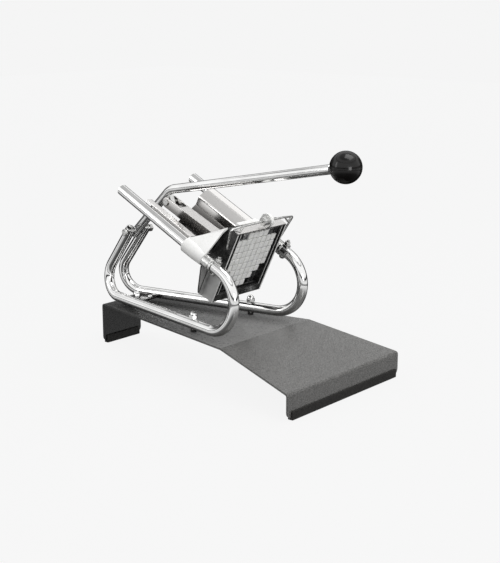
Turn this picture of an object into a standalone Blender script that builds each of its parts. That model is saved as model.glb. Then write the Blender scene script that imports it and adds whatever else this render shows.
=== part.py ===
"""Lever-operated potato chipper for a restaurant kitchen, as an assembly of separate parts.

The machine stands on a bent, tapered base plate. Two bent tubes carry a cast cutter housing at the front and
the lever's pivot at the rear. Two guide tubes slope down to the housing with a V trough hung between them.
The lever pulls a link, the link pushes a studded block down the trough, and the studs go through a grid of
blades. +X is the front, where the chips fall out, +Y is the left side and +Z is up.
"""

import math

import bmesh
import bpy
from mathutils import Matrix, Vector

MM = 0.001
GAP = 0.3 * MM  # between pieces that touch

# Driving dimensions. Every X that follows is measured forwards from the base plate's rear edge.
REAR_EDGE_X = -251.5 * MM
BASE_LENGTH = 504 * MM
BASE_REAR_HALF = 45.5 * MM
BASE_FRONT_HALF = 143 * MM
BASE_CREASE_X = 344 * MM
DECK_Z = 73.2 * MM  # top of the level rear deck
FRONT_DECK_Z = 41 * MM  # top of the sloping front deck at its front edge
PLATE = 3 * MM
FLANGE_CLEAR = 3 * MM  # the flanges stop this far above the table
RUBBER_HEIGHT = 14 * MM

TUBE_R = 9 * MM
TUBE_WALL = 1.5 * MM
RUN_Z = 86.5 * MM  # centre height of the frame tubes along the deck
REAR_CORNER = (-43.8 * MM, 15 * MM)  # where the riser and the run would meet, in X and Y
RISER_TOP = (51.5 * MM, 19 * MM, 212.2 * MM)
REAR_BEND_R = 35 * MM
LOOP_R = 53 * MM
LOOP_CENTRE_X = 296 * MM
RUN_FRONT_Y = 80.5 * MM  # where the front loop starts
GUIDE_Y = 85 * MM
BASE_BOLT_X = 248 * MM

SLANT = math.radians(26)  # the guides, trough and cutter slope down to the front by this much
CUTTER = (310.3 * MM, 191.4 * MM)  # X and Z of the cutter's front face on the guide tubes' level
GUIDE_REAR_U = -233 * MM
BOSS_REAR_U = -69 * MM

PITCH = 12 * MM  # chip size, from blade to blade
COLUMNS = 8
ROWS = 9
WINDOW_BOTTOM = -56 * MM
BLADE = 0.8 * MM
STUD = 10.4 * MM
STUDS_PER_ROW = (2, 4, 6, 8, 8, 8, 8, 8, 4)  # from the bottom row up: the block's lower corners follow the V

PIVOT = (46 * MM, 205 * MM)
PIVOT_BOLT_R = 4 * MM
LEVER_R = 7.8 * MM
LEVER_CORNER = (129.7 * MM, 286.2 * MM)
LEVER_END = (470 * MM, 353 * MM)
BALL_R = 25 * MM
BALL_CENTRE = (496 * MM, 358 * MM)
LINK_PIN = (130 * MM, 265 * MM)
PIN_R = 3.5 * MM
PUSHER_PIN_U = -62 * MM
STROKE = 98.5 * MM
LEVER_TRAVEL = math.radians(57)

BAIL_PIVOT = (-6 * MM, 28 * MM)
BAIL_WIRE_R = 1.75 * MM
BAIL_BAR_V = 73.5 * MM
TROUGH_REAR_U = -181 * MM
TROUGH_FRONT_U = -42 * MM
TROUGH_SHEET = 1.5 * MM


# ---------------------------------------------------------------- scene and materials
for old in list(bpy.data.objects):
    bpy.data.objects.remove(old, do_unlink=True)

parts = bpy.data.collections.new("potato_chipper")
cutters = bpy.data.collections.new("cutters")
bpy.context.scene.collection.children.link(parts)
bpy.context.scene.collection.children.link(cutters)


def finish(name, colour, metallic, roughness):
    made = bpy.data.materials.new(name)
    made.use_nodes = True
    shader = made.node_tree.nodes["Principled BSDF"]
    shader.inputs["Base Color"].default_value = (*colour, 1)
    shader.inputs["Metallic"].default_value = metallic
    shader.inputs["Roughness"].default_value = roughness
    return made


CHROME = finish("chrome", (0.80, 0.81, 0.82), 1.0, 0.08)
STAINLESS = finish("stainless_sheet", (0.70, 0.69, 0.68), 1.0, 0.22)
BLADE_STEEL = finish("blade_steel", (0.75, 0.75, 0.76), 1.0, 0.15)
GREY_COAT = finish("base_coating", (0.24, 0.24, 0.235), 0.0, 0.45)
PALE_PAINT = finish("housing_paint", (0.76, 0.76, 0.75), 0.0, 0.35)
BLACK_RUBBER = finish("foot_rubber", (0.015, 0.014, 0.013), 0.0, 0.6)
BLACK_KNOB = finish("ball_phenolic", (0.012, 0.011, 0.010), 0.0, 0.12)
PALE_PLASTIC = finish("pusher_plastic", (0.74, 0.74, 0.72), 0.0, 0.4)
BOLT_STEEL = finish("bolt_zinc", (0.66, 0.66, 0.65), 1.0, 0.25)

slant_frame = bpy.data.objects.new("slant_frame", None)
slant_frame.location = (REAR_EDGE_X + CUTTER[0], 0, CUTTER[1])
slant_frame.rotation_euler = (0, SLANT, 0)
parts.objects.link(slant_frame)


# ---------------------------------------------------------------- helpers
def place(x, y, z):
    """A point of the model from its X measured from the base's rear edge."""
    return Vector((REAR_EDGE_X + x, y, z))


def on_slant(u, y, v):
    """A point given along (u), across (y) and above (v) the guides, in the model's own axes."""
    u_axis = Vector((math.cos(SLANT), 0, -math.sin(SLANT)))
    v_axis = Vector((math.sin(SLANT), 0, math.cos(SLANT)))
    return place(CUTTER[0], y, CUTTER[1]) + u_axis * u + v_axis * v


def node(name, mesh, material, parent=None, helper=False):
    made = bpy.data.objects.new(name, mesh)
    (cutters if helper else parts).objects.link(made)
    if material:
        mesh.materials.append(material)
    if parent:
        made.parent = parent
    if helper:
        made.hide_render = True
        made.display_type = "WIRE"
    else:
        mesh.shade_smooth()
        mesh.set_sharp_from_angle(angle=math.radians(35))
    return made


def mesh_of(bm, name, outward=True):
    bmesh.ops.remove_doubles(bm, verts=bm.verts, dist=1e-6)
    if outward:
        bmesh.ops.recalc_face_normals(bm, faces=bm.faces)
    mesh = bpy.data.meshes.new(name)
    bm.to_mesh(mesh)
    bm.free()
    return mesh


def box_mesh(name, low, high):
    bm = bmesh.new()
    bmesh.ops.create_cube(bm, size=1)
    size = Vector(high) - Vector(low)
    middle = (Vector(high) + Vector(low)) / 2
    bmesh.ops.scale(bm, vec=size, verts=bm.verts)
    bmesh.ops.translate(bm, vec=middle, verts=bm.verts)
    return mesh_of(bm, name)


def hull_mesh(name, points):
    bm = bmesh.new()
    for point in points:
        bm.verts.new(point)
    bmesh.ops.convex_hull(bm, input=bm.verts)
    return mesh_of(bm, name)


def turned_mesh(name, profile, start, direction, steps=16):
    """A profile of (distance along, radius) pairs, from axis to axis or closed, spun about an axis."""
    bm = bmesh.new()
    rail = [bm.verts.new((radius, 0, along)) for along, radius in profile]
    closed = profile[0][1] > 0
    pairs = list(zip(rail, rail[1:] + rail[:1])) if closed else list(zip(rail, rail[1:]))
    edges = [bm.edges.new(pair) for pair in pairs]
    bmesh.ops.spin(bm, geom=rail + edges, cent=(0, 0, 0), axis=(0, 0, 1), angle=math.tau, steps=steps)
    turn = Vector(direction).to_track_quat("Z", "Y").to_matrix().to_4x4()
    bmesh.ops.transform(bm, matrix=Matrix.Translation(start) @ turn, verts=bm.verts)
    return mesh_of(bm, name)


def prism_mesh(name, outline, y_low, y_high):
    """An outline of (along, up) points in the X-Z plane, made solid from y_low to y_high."""
    bm = bmesh.new()
    face = bm.faces.new([bm.verts.new((x, y_low, z)) for x, z in outline])
    made = bmesh.ops.extrude_face_region(bm, geom=[face], use_keep_orig=True)
    moved = [item for item in made["geom"] if isinstance(item, bmesh.types.BMVert)]
    bmesh.ops.translate(bm, vec=(0, y_high - y_low, 0), verts=moved)
    return mesh_of(bm, name)


def swept_mesh(name, points, radius, sides=12, wall=None):
    """A round bar along points, or with a wall a tube that is open at both ends."""
    curve = bpy.data.curves.new(name, "CURVE")
    curve.dimensions = "3D"
    curve.bevel_depth = radius
    curve.bevel_resolution = (sides - 4) // 2
    curve.use_fill_caps = wall is None
    spline = curve.splines.new("POLY")
    spline.points.add(len(points) - 1)
    for point, target in zip(spline.points, points):
        point.co = (*target, 1)
    guide = bpy.data.objects.new(name + "_guide", curve)
    cutters.objects.link(guide)
    bpy.context.view_layer.update()
    graph = bpy.context.evaluated_depsgraph_get()
    mesh = bpy.data.meshes.new_from_object(guide.evaluated_get(graph))
    bpy.data.objects.remove(guide)
    mesh.name = name
    bm = bmesh.new()
    bm.from_mesh(mesh)
    bmesh.ops.remove_doubles(bm, verts=bm.verts, dist=1e-6)
    bmesh.ops.recalc_face_normals(bm, faces=bm.faces)
    if wall is not None:
        # An open tube has no inside to judge by, so its outer wall is turned away from the tube's axis.
        bm.faces.ensure_lookup_table()
        first = bm.faces[0]
        centre = min((Vector(p) for p in points), key=lambda p: (p - first.calc_center_median()).length)
        if first.normal.dot(first.calc_center_median() - centre) < 0:
            bmesh.ops.reverse_faces(bm, faces=bm.faces)
        bmesh.ops.solidify(bm, geom=bm.faces, thickness=wall)
        bmesh.ops.recalc_face_normals(bm, faces=bm.faces)
    bm.to_mesh(mesh)
    bm.free()
    return mesh


def boolean(target, operation, other):
    modifier = target.modifiers.new(operation.lower(), "BOOLEAN")
    modifier.operation = operation
    modifier.solver = "EXACT"
    modifier.object = other


def cut(target, mesh, parent=None):
    boolean(target, "DIFFERENCE", node(target.name + "_cutter", mesh, None, parent, helper=True))


def join(target, mesh, parent=None):
    boolean(target, "UNION", node(target.name + "_shape", mesh, None, parent, helper=True))


def cylinder_mesh(name, start, end, radius, steps=16):
    length = (Vector(end) - Vector(start)).length
    profile = [(0, 0), (0, radius), (length, radius), (length, 0)]
    return turned_mesh(name, profile, start, Vector(end) - Vector(start), steps)


def arc(centre, radius, start, sweep, steps):
    """Points (x, z) on a circle, from the angle start through sweep, both in radians."""
    turns = [start + sweep * step / steps for step in range(steps + 1)]
    return [(centre[0] + radius * math.cos(t), centre[1] + radius * math.sin(t)) for t in turns]


def rounded_corner(before, corner, after, radius, steps):
    """Points of the arc that rounds the corner between two straight runs in space."""
    back = (before - corner).normalized()
    ahead = (after - corner).normalized()
    half = back.angle(ahead) / 2
    reach = radius / math.tan(half)
    centre = corner + (back + ahead).normalized() * (radius / math.sin(half))
    first = corner + back * reach - centre
    axis = first.cross(corner + ahead * reach - centre)
    turn = math.pi - 2 * half
    return [centre + Matrix.Rotation(turn * s / steps, 3, axis) @ first for s in range(steps + 1)]


# ---------------------------------------------------------------- base plate and its rubber feet
def base_half_width(x):
    return BASE_REAR_HALF + (BASE_FRONT_HALF - BASE_REAR_HALF) * x / BASE_LENGTH


def base_section():
    """Side view of the sheet's upper face as (x, z, narrowing), from the rear flange's foot to the front's."""
    bend = 6 * MM
    corner = 10 * MM
    slope = math.atan2(DECK_Z - FRONT_DECK_Z, BASE_LENGTH - BASE_CREASE_X)
    rear_foot = [(0, FLANGE_CLEAR + corner - corner * math.sin(t), corner - corner * math.cos(t))
                 for t in (math.radians(90), math.radians(60), math.radians(30), 0)]
    rear_bend = [(x, z, 0) for x, z in arc((bend, DECK_Z - bend), bend, math.pi, -math.pi / 2, 3)]
    front_top = (BASE_LENGTH - bend, FRONT_DECK_Z - bend + bend * math.tan(slope))
    front_bend = [(x, z, 0) for x, z in arc(front_top, bend, math.pi / 2 - slope, slope - math.pi / 2, 3)]
    front_foot = [(BASE_LENGTH, z, narrow) for _, z, narrow in reversed(rear_foot)]
    return rear_foot + rear_bend + [(BASE_CREASE_X, DECK_Z, 0)] + front_bend + front_foot


def make_base():
    bm = bmesh.new()
    rows = []
    for x, z, narrow in base_section():
        half = base_half_width(x) - narrow
        rows.append([bm.verts.new(place(x, side * half, z)) for side in (-1, 1)])
    for low, high in zip(rows, rows[1:]):
        bm.faces.new((low[0], low[1], high[1], high[0]))
    base = node("base_plate", mesh_of(bm, "base_plate"), GREY_COAT)
    upward = sum(f.normal.z * f.area for f in base.data.polygons) > 0
    thick = base.modifiers.new("sheet", "SOLIDIFY")
    thick.thickness = PLATE
    thick.offset = -1 if upward else 1
    thick.use_even_offset = True
    for x, y in ((BASE_BOLT_X, run_y(BASE_BOLT_X)), (BASE_BOLT_X, -run_y(BASE_BOLT_X)), (TIE_BOLT_X, 0)):
        cut(base, cylinder_mesh("hole", place(x, y, DECK_Z - 8 * MM), place(x, y, DECK_Z + 8 * MM), 3.5 * MM))


def make_foot(name, x_low, x_high, half):
    """A rubber channel pushed up over a flange's lower edge."""
    slot = PLATE + 2 * GAP
    middle = (x_low + x_high) / 2
    foot = node(name, box_mesh(name, place(middle - 4.5 * MM, -half, 0), place(middle + 4.5 * MM, half, RUBBER_HEIGHT)),
                BLACK_RUBBER)
    cut(foot, box_mesh("slot", place(middle - slot / 2, -half - MM, FLANGE_CLEAR - GAP),
                       place(middle + slot / 2, half + MM, RUBBER_HEIGHT + MM)))


# ---------------------------------------------------------------- frame tubes
def run_y(x):
    """Distance from the middle to a frame tube's centre line, along the deck."""
    share = (x - REAR_CORNER[0]) / (LOOP_CENTRE_X - REAR_CORNER[0])
    return REAR_CORNER[1] + (RUN_FRONT_Y - REAR_CORNER[1]) * share


def frame_tube_points(side):
    top = place(RISER_TOP[0], RISER_TOP[1], RISER_TOP[2])
    corner = place(REAR_CORNER[0], REAR_CORNER[1], RUN_Z)
    loop_start = place(LOOP_CENTRE_X, RUN_FRONT_Y, RUN_Z)
    points = [top] + rounded_corner(top, corner, loop_start, REAR_BEND_R, 8)
    # The loop turns up and back until it lies along the guide tubes, and leans out on the way.
    lean = GUIDE_Y - RUN_FRONT_Y
    entry_slope = 0.195 * LOOP_R * (math.pi - SLANT)
    turn = arc((LOOP_CENTRE_X, RUN_Z + LOOP_R), LOOP_R, -math.pi / 2, math.pi - SLANT, 11)
    for step, (x, z) in enumerate(turn):
        t = step / (len(turn) - 1)
        y = RUN_FRONT_Y + lean * (3 * t * t - 2 * t ** 3) + entry_slope * t * (1 - t) ** 2
        points.append(place(x, y, z))
    points.append(on_slant(-34 * MM, GUIDE_Y, 0))
    return [Vector((p.x, side * p.y, p.z)) for p in points]


def make_frame_tube(name, side):
    tube = node(name, swept_mesh(name, frame_tube_points(side), TUBE_R, 12, TUBE_WALL), CHROME)
    y = side * run_y(BASE_BOLT_X)
    cut(tube, cylinder_mesh("bolt_hole", place(BASE_BOLT_X, y, 70 * MM), place(BASE_BOLT_X, y, 100 * MM), 3.4 * MM, 12))
    cut(tube, cylinder_mesh("pivot_hole", place(PIVOT[0], side * 5 * MM, PIVOT[1]),
                            place(PIVOT[0], side * 40 * MM, PIVOT[1]), PIVOT_BOLT_R + GAP, 12))
    y = side * GUIDE_Y
    cut(tube, cylinder_mesh("clamp_hole", on_slant(0, y, -20 * MM), on_slant(0, y, 20 * MM), 2.8 * MM, 12))


# ---------------------------------------------------------------- fasteners
def make_turned(name, profile, start, direction, material, steps=16, parent=None):
    return node(name, turned_mesh(name, profile, start, direction, steps), material, parent)


def dome_nut_profile(width, height, bore, depth):
    """An acorn nut standing on its flat face, with a blind hole from below."""
    r = width / 2
    dome = [(height - r * 0.82 + r * 0.82 * math.sin(t), r * 0.82 * math.cos(t))
            for t in (0, math.radians(30), math.radians(60))]
    return [(depth, 0), (depth, bore), (0, bore), (0, r), (height - r * 0.95, r)] + dome + [(height, 0)]


def bolt_profile(head_r, head_h, shank_r, length):
    """A low round head standing on the start point, and its shank going on from it."""
    return [(0, 0), (0, head_r * 0.8), (head_h * 0.4, head_r), (head_h, head_r), (head_h, shank_r),
            (head_h + length, shank_r), (head_h + length, 0)]


def ring_profile(inner, outer, height):
    return [(0, inner), (0, outer), (height, outer), (height, inner)]


def hex_nut_profile(bolt_r, outer, height):
    """Spun in six steps: its bore is six-sided too, so it is opened until its flats clear the bolt."""
    return ring_profile((bolt_r + 0.1 * MM) / math.cos(math.radians(30)), outer, height)


TIE_BOLT_X = 41 * MM
TIE_Z = 79 * MM  # underside of the tie plate
TIE_SHEET = 3.2 * MM


def make_base_bolts(side, label):
    y = side * run_y(BASE_BOLT_X)
    tube_top = RUN_Z + TUBE_R
    make_turned("tube_spacer_" + label, ring_profile(3.4 * MM, 8 * MM, RUN_Z - TUBE_R - DECK_Z - 2 * GAP),
                place(BASE_BOLT_X, y, DECK_Z + GAP), (0, 0, 1), BOLT_STEEL)
    make_turned("dome_nut_" + label, dome_nut_profile(13 * MM, 12 * MM, 3.3 * MM, 7 * MM),
                place(BASE_BOLT_X, y, tube_top + GAP), (0, 0, 1), CHROME)
    head = 4 * MM
    start = DECK_Z - PLATE - GAP - head
    make_turned("base_bolt_" + label, bolt_profile(7 * MM, head, 3 * MM, tube_top + 5 * MM - start - head),
                place(BASE_BOLT_X, y, start), (0, 0, 1), BOLT_STEEL)


def make_rear_tie():
    """The plate that bridges the two tubes at the rear, held down on the deck by one bolt and two screws."""
    rear, front = 20 * MM, 63 * MM
    clear = math.sqrt(TUBE_R ** 2 - (RUN_Z - TIE_Z - TIE_SHEET / 2) ** 2) + 1.6 * MM
    points = [place(x, side * (run_y(x) - clear), z)
              for x in (rear, front) for side in (-1, 1) for z in (TIE_Z, TIE_Z + TIE_SHEET)]
    plate = node("rear_tie_plate", hull_mesh("rear_tie_plate", points), STAINLESS)
    cut(plate, cylinder_mesh("tie_hole", place(TIE_BOLT_X, 0, TIE_Z - 5 * MM), place(TIE_BOLT_X, 0, TIE_Z + 9 * MM), 3.4 * MM))
    make_turned("tie_spacer", ring_profile(3.4 * MM, 9 * MM, TIE_Z - DECK_Z - 2 * GAP),
                place(TIE_BOLT_X, 0, DECK_Z + GAP), (0, 0, 1), BOLT_STEEL)
    top = TIE_Z + TIE_SHEET
    make_turned("tie_dome_nut", dome_nut_profile(13 * MM, 12 * MM, 3.3 * MM, 7 * MM),
                place(TIE_BOLT_X, 0, top + GAP), (0, 0, 1), CHROME)
    head = 4 * MM
    start = DECK_Z - PLATE - GAP - head
    make_turned("tie_bolt", bolt_profile(7 * MM, head, 3 * MM, top + 5 * MM - start - head),
                place(TIE_BOLT_X, 0, start), (0, 0, 1), BOLT_STEEL)
    for side, label in ((1, "left"), (-1, "right")):
        x, y = 56 * MM, side * 19 * MM
        cut(plate, cylinder_mesh("screw_hole", place(x, y, TIE_Z - 5 * MM), place(x, y, TIE_Z + 9 * MM), 2.4 * MM, 12))
        make_turned("tie_screw_" + label, bolt_profile(4.5 * MM, 3 * MM, 2 * MM, top - DECK_Z - GAP),
                    place(x, y, top + GAP + 3 * MM), (0, 0, -1), CHROME, 12)


def make_clamp_bolt(side, label):
    """A bolt square to the guide tube, through the housing's boss and the frame tube's end inside it."""
    y = side * GUIDE_Y
    head = 3.5 * MM
    under = -BOSS_R - GAP
    length = CLAMP_TOP_V + 8 * MM - under
    make_turned("clamp_bolt_" + label, bolt_profile(5 * MM, head, 2.5 * MM, length),
                (0, y, under - head), (0, 0, 1), BOLT_STEEL, 12, slant_frame)
    make_turned("clamp_nut_" + label, hex_nut_profile(2.5 * MM, 5.2 * MM, 5 * MM),
                (0, y, CLAMP_TOP_V + GAP), (0, 0, 1), BOLT_STEEL, 6, slant_frame)


# ---------------------------------------------------------------- cutter housing
HOUSE_HALF = 60 * MM
HOUSE_WALL = 6 * MM
RAIL_INNER = 50 * MM
BOSS_R = 14 * MM
BOSS_FRONT_U = 8 * MM
CLAMP_TOP_V = 15.5 * MM


def make_housing():
    """A casting: side walls and guide rails for the grid cartridge, flared wings, and bosses for the tubes."""
    side_outline = [(0, -74), (0, 57), (-24, 56), (-60, 20), (-66, -12), (-45, -32), (-31, -76), (-20, -76)]
    side_outline = [(u * MM, v * MM) for u, v in side_outline]
    house = node("cutter_housing", prism_mesh("cutter_housing", side_outline, -HOUSE_HALF, HOUSE_HALF), PALE_PAINT,
                 slant_frame)
    inner = HOUSE_HALF - HOUSE_WALL
    # The passage for the pusher, open to the rear and above, up to the cross bar behind the cartridge.
    passage = [(-90, -60), (-18, -60), (-18, 90), (-90, 90)]
    cut(house, prism_mesh("passage", [(u * MM, v * MM) for u, v in passage], -inner, inner), slant_frame)
    # The slot that the cartridge drops into, and the view of the blades between the rails.
    slot_half = 56.6 * MM
    cut(house, box_mesh("slot", (-17.6 * MM, -slot_half, -65 * MM), (-5 * MM, slot_half, 70 * MM)), slant_frame)
    cut(house, box_mesh("view", (-19 * MM, -RAIL_INNER, -60 * MM), (5 * MM, RAIL_INNER, 70 * MM)), slant_frame)
    join(house, box_mesh("cross_bar", (-24 * MM, -57 * MM, 53.2 * MM), (-18.4 * MM, 57 * MM, 56 * MM)), slant_frame)
    for side in (-1, 1):
        y = side * GUIDE_Y
        join(house, cylinder_mesh("boss", (BOSS_REAR_U, y, 0), (BOSS_FRONT_U, y, 0), BOSS_R, 20), slant_frame)
        outer = [(-69, 91, -11), (-60, 70, 20), (-24, 66, 56.5), (-24, 92, -9)]
        inside = [(-69, 86, -11), (-60, 59, 20), (-24, 59, 56.5), (-24, 87, -9)]
        shallow = [(-62, 66, 16), (-24, 62, 52)]
        skin = [(-69, 91, -11), (-60, 70, 20), (-24, 66, 56.5), (-24, 92, -9),
                (-69, 87, -11), (-60, 66, 19), (-24, 62, 55.5), (-24, 88, -9)]
        top = [outer[1], outer[2], inside[1], inside[2], (-60, 70, 17), (-24, 66, 53), (-60, 59, 17), (-24, 59, 53)]
        floor = [(-66, 59, -14), (-66, 90, -14), (-24, 59, -14), (-24, 90, -14),
                 (-66, 59, -10), (-66, 90, -10), (-24, 59, -10), (-24, 90, -10)]
        back = [(-66, 59, -12), (-69, 90, -12), (-60, 59, 20), (-60, 70, 20),
                (-62, 59, -12), (-65, 90, -12), (-56, 59, 19), (-56, 70, 19)]
        for label, corners in (("skin", skin), ("top", top), ("floor", floor), ("back", back)):
            points = [(u * MM, side * y_mm * MM, v * MM) for u, y_mm, v in corners]
            join(house, hull_mesh("wing_" + label, points), slant_frame)
        join(house, box_mesh("clamp_pad", (-7 * MM, y - 7 * MM, 10.5 * MM), (7 * MM, y + 7 * MM, CLAMP_TOP_V)), slant_frame)
        bore = TUBE_R + GAP
        cut(house, cylinder_mesh("bore", (-90 * MM, y, 0), (40 * MM, y, 0), bore, 16), slant_frame)
        cut(house, cylinder_mesh("bolt_hole", (0, y, -20 * MM), (0, y, 20 * MM), 2.9 * MM, 12), slant_frame)
        pin = BAIL_WIRE_R + GAP
        cut(house, cylinder_mesh("bail_hole", (BAIL_PIVOT[0], side * 57.2 * MM, BAIL_PIVOT[1]),
                                 (BAIL_PIVOT[0], side * 70 * MM, BAIL_PIVOT[1]), pin, 8), slant_frame)


# ---------------------------------------------------------------- guide tubes and trough
def make_guides(side, label):
    y = side * GUIDE_Y
    ends = [(GUIDE_REAR_U, y, 0), (-36 * MM, y, 0)]
    node("guide_tube_" + label, swept_mesh("guide_tube_" + label, ends, TUBE_R, 16, TUBE_WALL), CHROME, slant_frame)
    inner = TUBE_R - TUBE_WALL - GAP
    plug = [(0, 0), (0, inner), (14 * MM, inner), (14 * MM, 0)]
    make_turned("guide_plug_" + label, plug, (GUIDE_REAR_U - 1 * MM, y, 0), (1, 0, 0), BLACK_RUBBER, 16, slant_frame)


def make_trough():
    """A stainless sheet folded into a V with a flat bottom, hung over the guide tubes by its flanges."""
    half = [(13, -58), (53, -18), (53, -2), (67, 9.5), (80, 11)]
    outline = [(-y * MM, v * MM) for y, v in reversed(half)] + [(y * MM, v * MM) for y, v in half]
    bm = bmesh.new()
    rows = [[bm.verts.new((u, y, v)) for y, v in outline] for u in (TROUGH_REAR_U, TROUGH_FRONT_U)]
    for i in range(len(outline) - 1):
        bm.faces.new((rows[0][i], rows[1][i], rows[1][i + 1], rows[0][i + 1]))
    trough = node("potato_trough", mesh_of(bm, "potato_trough", outward=False), STAINLESS, slant_frame)
    upward = sum(f.normal.z * f.area for f in trough.data.polygons) > 0
    thick = trough.modifiers.new("sheet", "SOLIDIFY")
    thick.thickness = TROUGH_SHEET
    thick.offset = 1 if upward else -1
    thick.use_even_offset = True
    for side in (-1, 1):
        ends = sorted((side * 52 * MM, side * 100 * MM))
        cut(trough, box_mesh("flange_end", (-70.5 * MM, ends[0], -40 * MM), (-20 * MM, ends[1], 40 * MM)), slant_frame)
    # Its lower front corner stops short of the pusher's floor in the housing.
    cut(trough, box_mesh("front_end", (-44 * MM, -60 * MM, -80 * MM), (-20 * MM, 60 * MM, 60 * MM)), slant_frame)


# ---------------------------------------------------------------- grid cartridge
def make_cartridge():
    half = COLUMNS * PITCH / 2
    top = WINDOW_BOTTOM + ROWS * PITCH
    frame = node("grid_frame", box_mesh("grid_frame", (-17 * MM, -56.2 * MM, -64.5 * MM), (-5.4 * MM, 56.2 * MM, 57.2 * MM)),
                 BLADE_STEEL, slant_frame)
    cut(frame, box_mesh("window", (-20 * MM, -half, WINDOW_BOTTOM), (0, half, top)), slant_frame)
    cut(frame, box_mesh("pocket", (-20 * MM, -half - 4 * MM, WINDOW_BOTTOM - 4 * MM), (-7 * MM, half + 4 * MM, top + 2 * MM)),
        slant_frame)
    join(frame, box_mesh("top_plate", (-17 * MM, -58 * MM, 57.1 * MM), (0, 58 * MM, 59.6 * MM)), slant_frame)
    rail = 3.4 * MM
    front, back = -7.4 * MM, -11.4 * MM
    low = WINDOW_BOTTOM - GAP
    # The bars that the upright blades are set in, then the blades, each one longer than the window.
    upright = node("upright_blades", box_mesh("upright_blades", (back, -half - rail, low - rail), (front, half + rail, low)),
                   BLADE_STEEL, slant_frame)
    join(upright, box_mesh("bar", (back, -half - rail, top - 0.4 * MM), (front, half + rail, top + 1.6 * MM)), slant_frame)
    for i in range(1, COLUMNS):
        y = -half + i * PITCH
        join(upright, box_mesh("blade", (back, y - BLADE / 2, low - 1 * MM), (front, y + BLADE / 2, top + 0.6 * MM)), slant_frame)
    front, back = -11.9 * MM, -15.9 * MM
    level = node("level_blades", box_mesh("level_blades", (back, -half - rail, low), (front, -half - GAP, top - 0.5 * MM)),
                 BLADE_STEEL, slant_frame)
    join(level, box_mesh("bar", (back, half + GAP, low), (front, half + rail, top - 0.5 * MM)), slant_frame)
    for j in range(1, ROWS):
        v = WINDOW_BOTTOM + j * PITCH
        join(level, box_mesh("blade", (back, -half - MM, v - BLADE / 2), (front, half + MM, v + BLADE / 2)), slant_frame)


# ---------------------------------------------------------------- pusher
PLATE_BACK_U = -36 * MM
PLATE_FRONT_U = -19 * MM
STUD_FRONT_U = -3.5 * MM
BRACKET_HALF = 8 * MM
PUSHER_PIN_V = -8 * MM


def make_pusher():
    """A plastic block whose outline steps in with the V, with one stud for each hole of the grid."""
    bm = bmesh.new()
    gap = PITCH - STUD
    lines_y = [0]
    for i in range(COLUMNS):
        lines_y += [i * PITCH + gap / 2, i * PITCH + gap / 2 + STUD]
    lines_y.append(COLUMNS * PITCH)
    lines_v = [0]
    for j in range(ROWS):
        lines_v += [j * PITCH + gap / 2, j * PITCH + gap / 2 + STUD]
    lines_v.append(ROWS * PITCH)
    half = COLUMNS * PITCH / 2
    corner = {}

    def vertex(i, j):
        if (i, j) not in corner:
            corner[i, j] = bm.verts.new((PLATE_FRONT_U, lines_y[i] - half, lines_v[j] + WINDOW_BOTTOM))
        return corner[i, j]

    studs = []
    sheet = []
    for i in range(len(lines_y) - 1):
        for j in range(len(lines_v) - 1):
            y = (lines_y[i] + lines_y[i + 1]) / 2 - half
            v = (lines_v[j] + lines_v[j + 1]) / 2
            # A strip between two rows belongs to the narrower one, so that every corner stays clear of the V.
            rows = [STUDS_PER_ROW[int(min(max(v + reach, 0), ROWS * PITCH - 1e-6) / PITCH)] for reach in (-gap, gap)]
            if abs(y) > min(rows) * PITCH / 2 - gap / 2:
                continue
            face = bm.faces.new((vertex(i, j), vertex(i + 1, j), vertex(i + 1, j + 1), vertex(i, j + 1)))
            sheet.append(face)
            if i % 2 == 1 and j % 2 == 1:
                studs.append(face)
    made = bmesh.ops.extrude_face_region(bm, geom=sheet, use_keep_orig=True)
    moved = [item for item in made["geom"] if isinstance(item, bmesh.types.BMVert)]
    bmesh.ops.translate(bm, vec=(PLATE_BACK_U - PLATE_FRONT_U, 0, 0), verts=moved)
    raised = bmesh.ops.extrude_discrete_faces(bm, faces=studs)["faces"]
    moved = [corner_vert for face in raised for corner_vert in face.verts]
    bmesh.ops.translate(bm, vec=(STUD_FRONT_U - PLATE_FRONT_U, 0, 0), verts=moved)
    bmesh.ops.recalc_face_normals(bm, faces=bm.faces)
    bmesh.ops.dissolve_limit(bm, angle_limit=math.radians(1), verts=bm.verts, edges=bm.edges)
    node("pusher_block", mesh_of(bm, "pusher_block"), PALE_PLASTIC, slant_frame)

    bracket_outline = [(PLATE_BACK_U - GAP, -40 * MM), (PLATE_BACK_U - GAP, 24 * MM), (PLATE_BACK_U - 4 * MM, 24 * MM),
                       (PUSHER_PIN_U + 4 * MM, 2 * MM), (PUSHER_PIN_U - 6 * MM, 0), (PUSHER_PIN_U - 10 * MM, PUSHER_PIN_V),
                       (PUSHER_PIN_U - 6 * MM, -16 * MM), (PLATE_BACK_U - 4 * MM, -40 * MM)]
    bracket = node("pusher_bracket", prism_mesh("pusher_bracket", bracket_outline, -6 * MM, 6 * MM), STAINLESS, slant_frame)
    cut(bracket, cylinder_mesh("pin_hole", (PUSHER_PIN_U, -20 * MM, PUSHER_PIN_V), (PUSHER_PIN_U, 20 * MM, PUSHER_PIN_V),
                               PIN_R + GAP, 12), slant_frame)
    make_pin("pusher_pin", (PUSHER_PIN_U, 0, PUSHER_PIN_V), slant_frame)


def make_pin(name, centre, parent):
    """A clevis pin across the link, with a head on one end and a clip groove's collar on the other."""
    half = 13.3 * MM
    profile = [(0, 0), (0, 5 * MM), (2 * MM, 5.5 * MM), (2 * MM, PIN_R), (2 * half - 2 * MM, PIN_R)]
    profile += [(2 * half - 2 * MM, 5.5 * MM), (2 * half, 5 * MM), (2 * half, 0)]
    make_turned(name, profile, Vector(centre) - Vector((0, half, 0)), (0, 1, 0), BOLT_STEEL, 12, parent)


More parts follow.
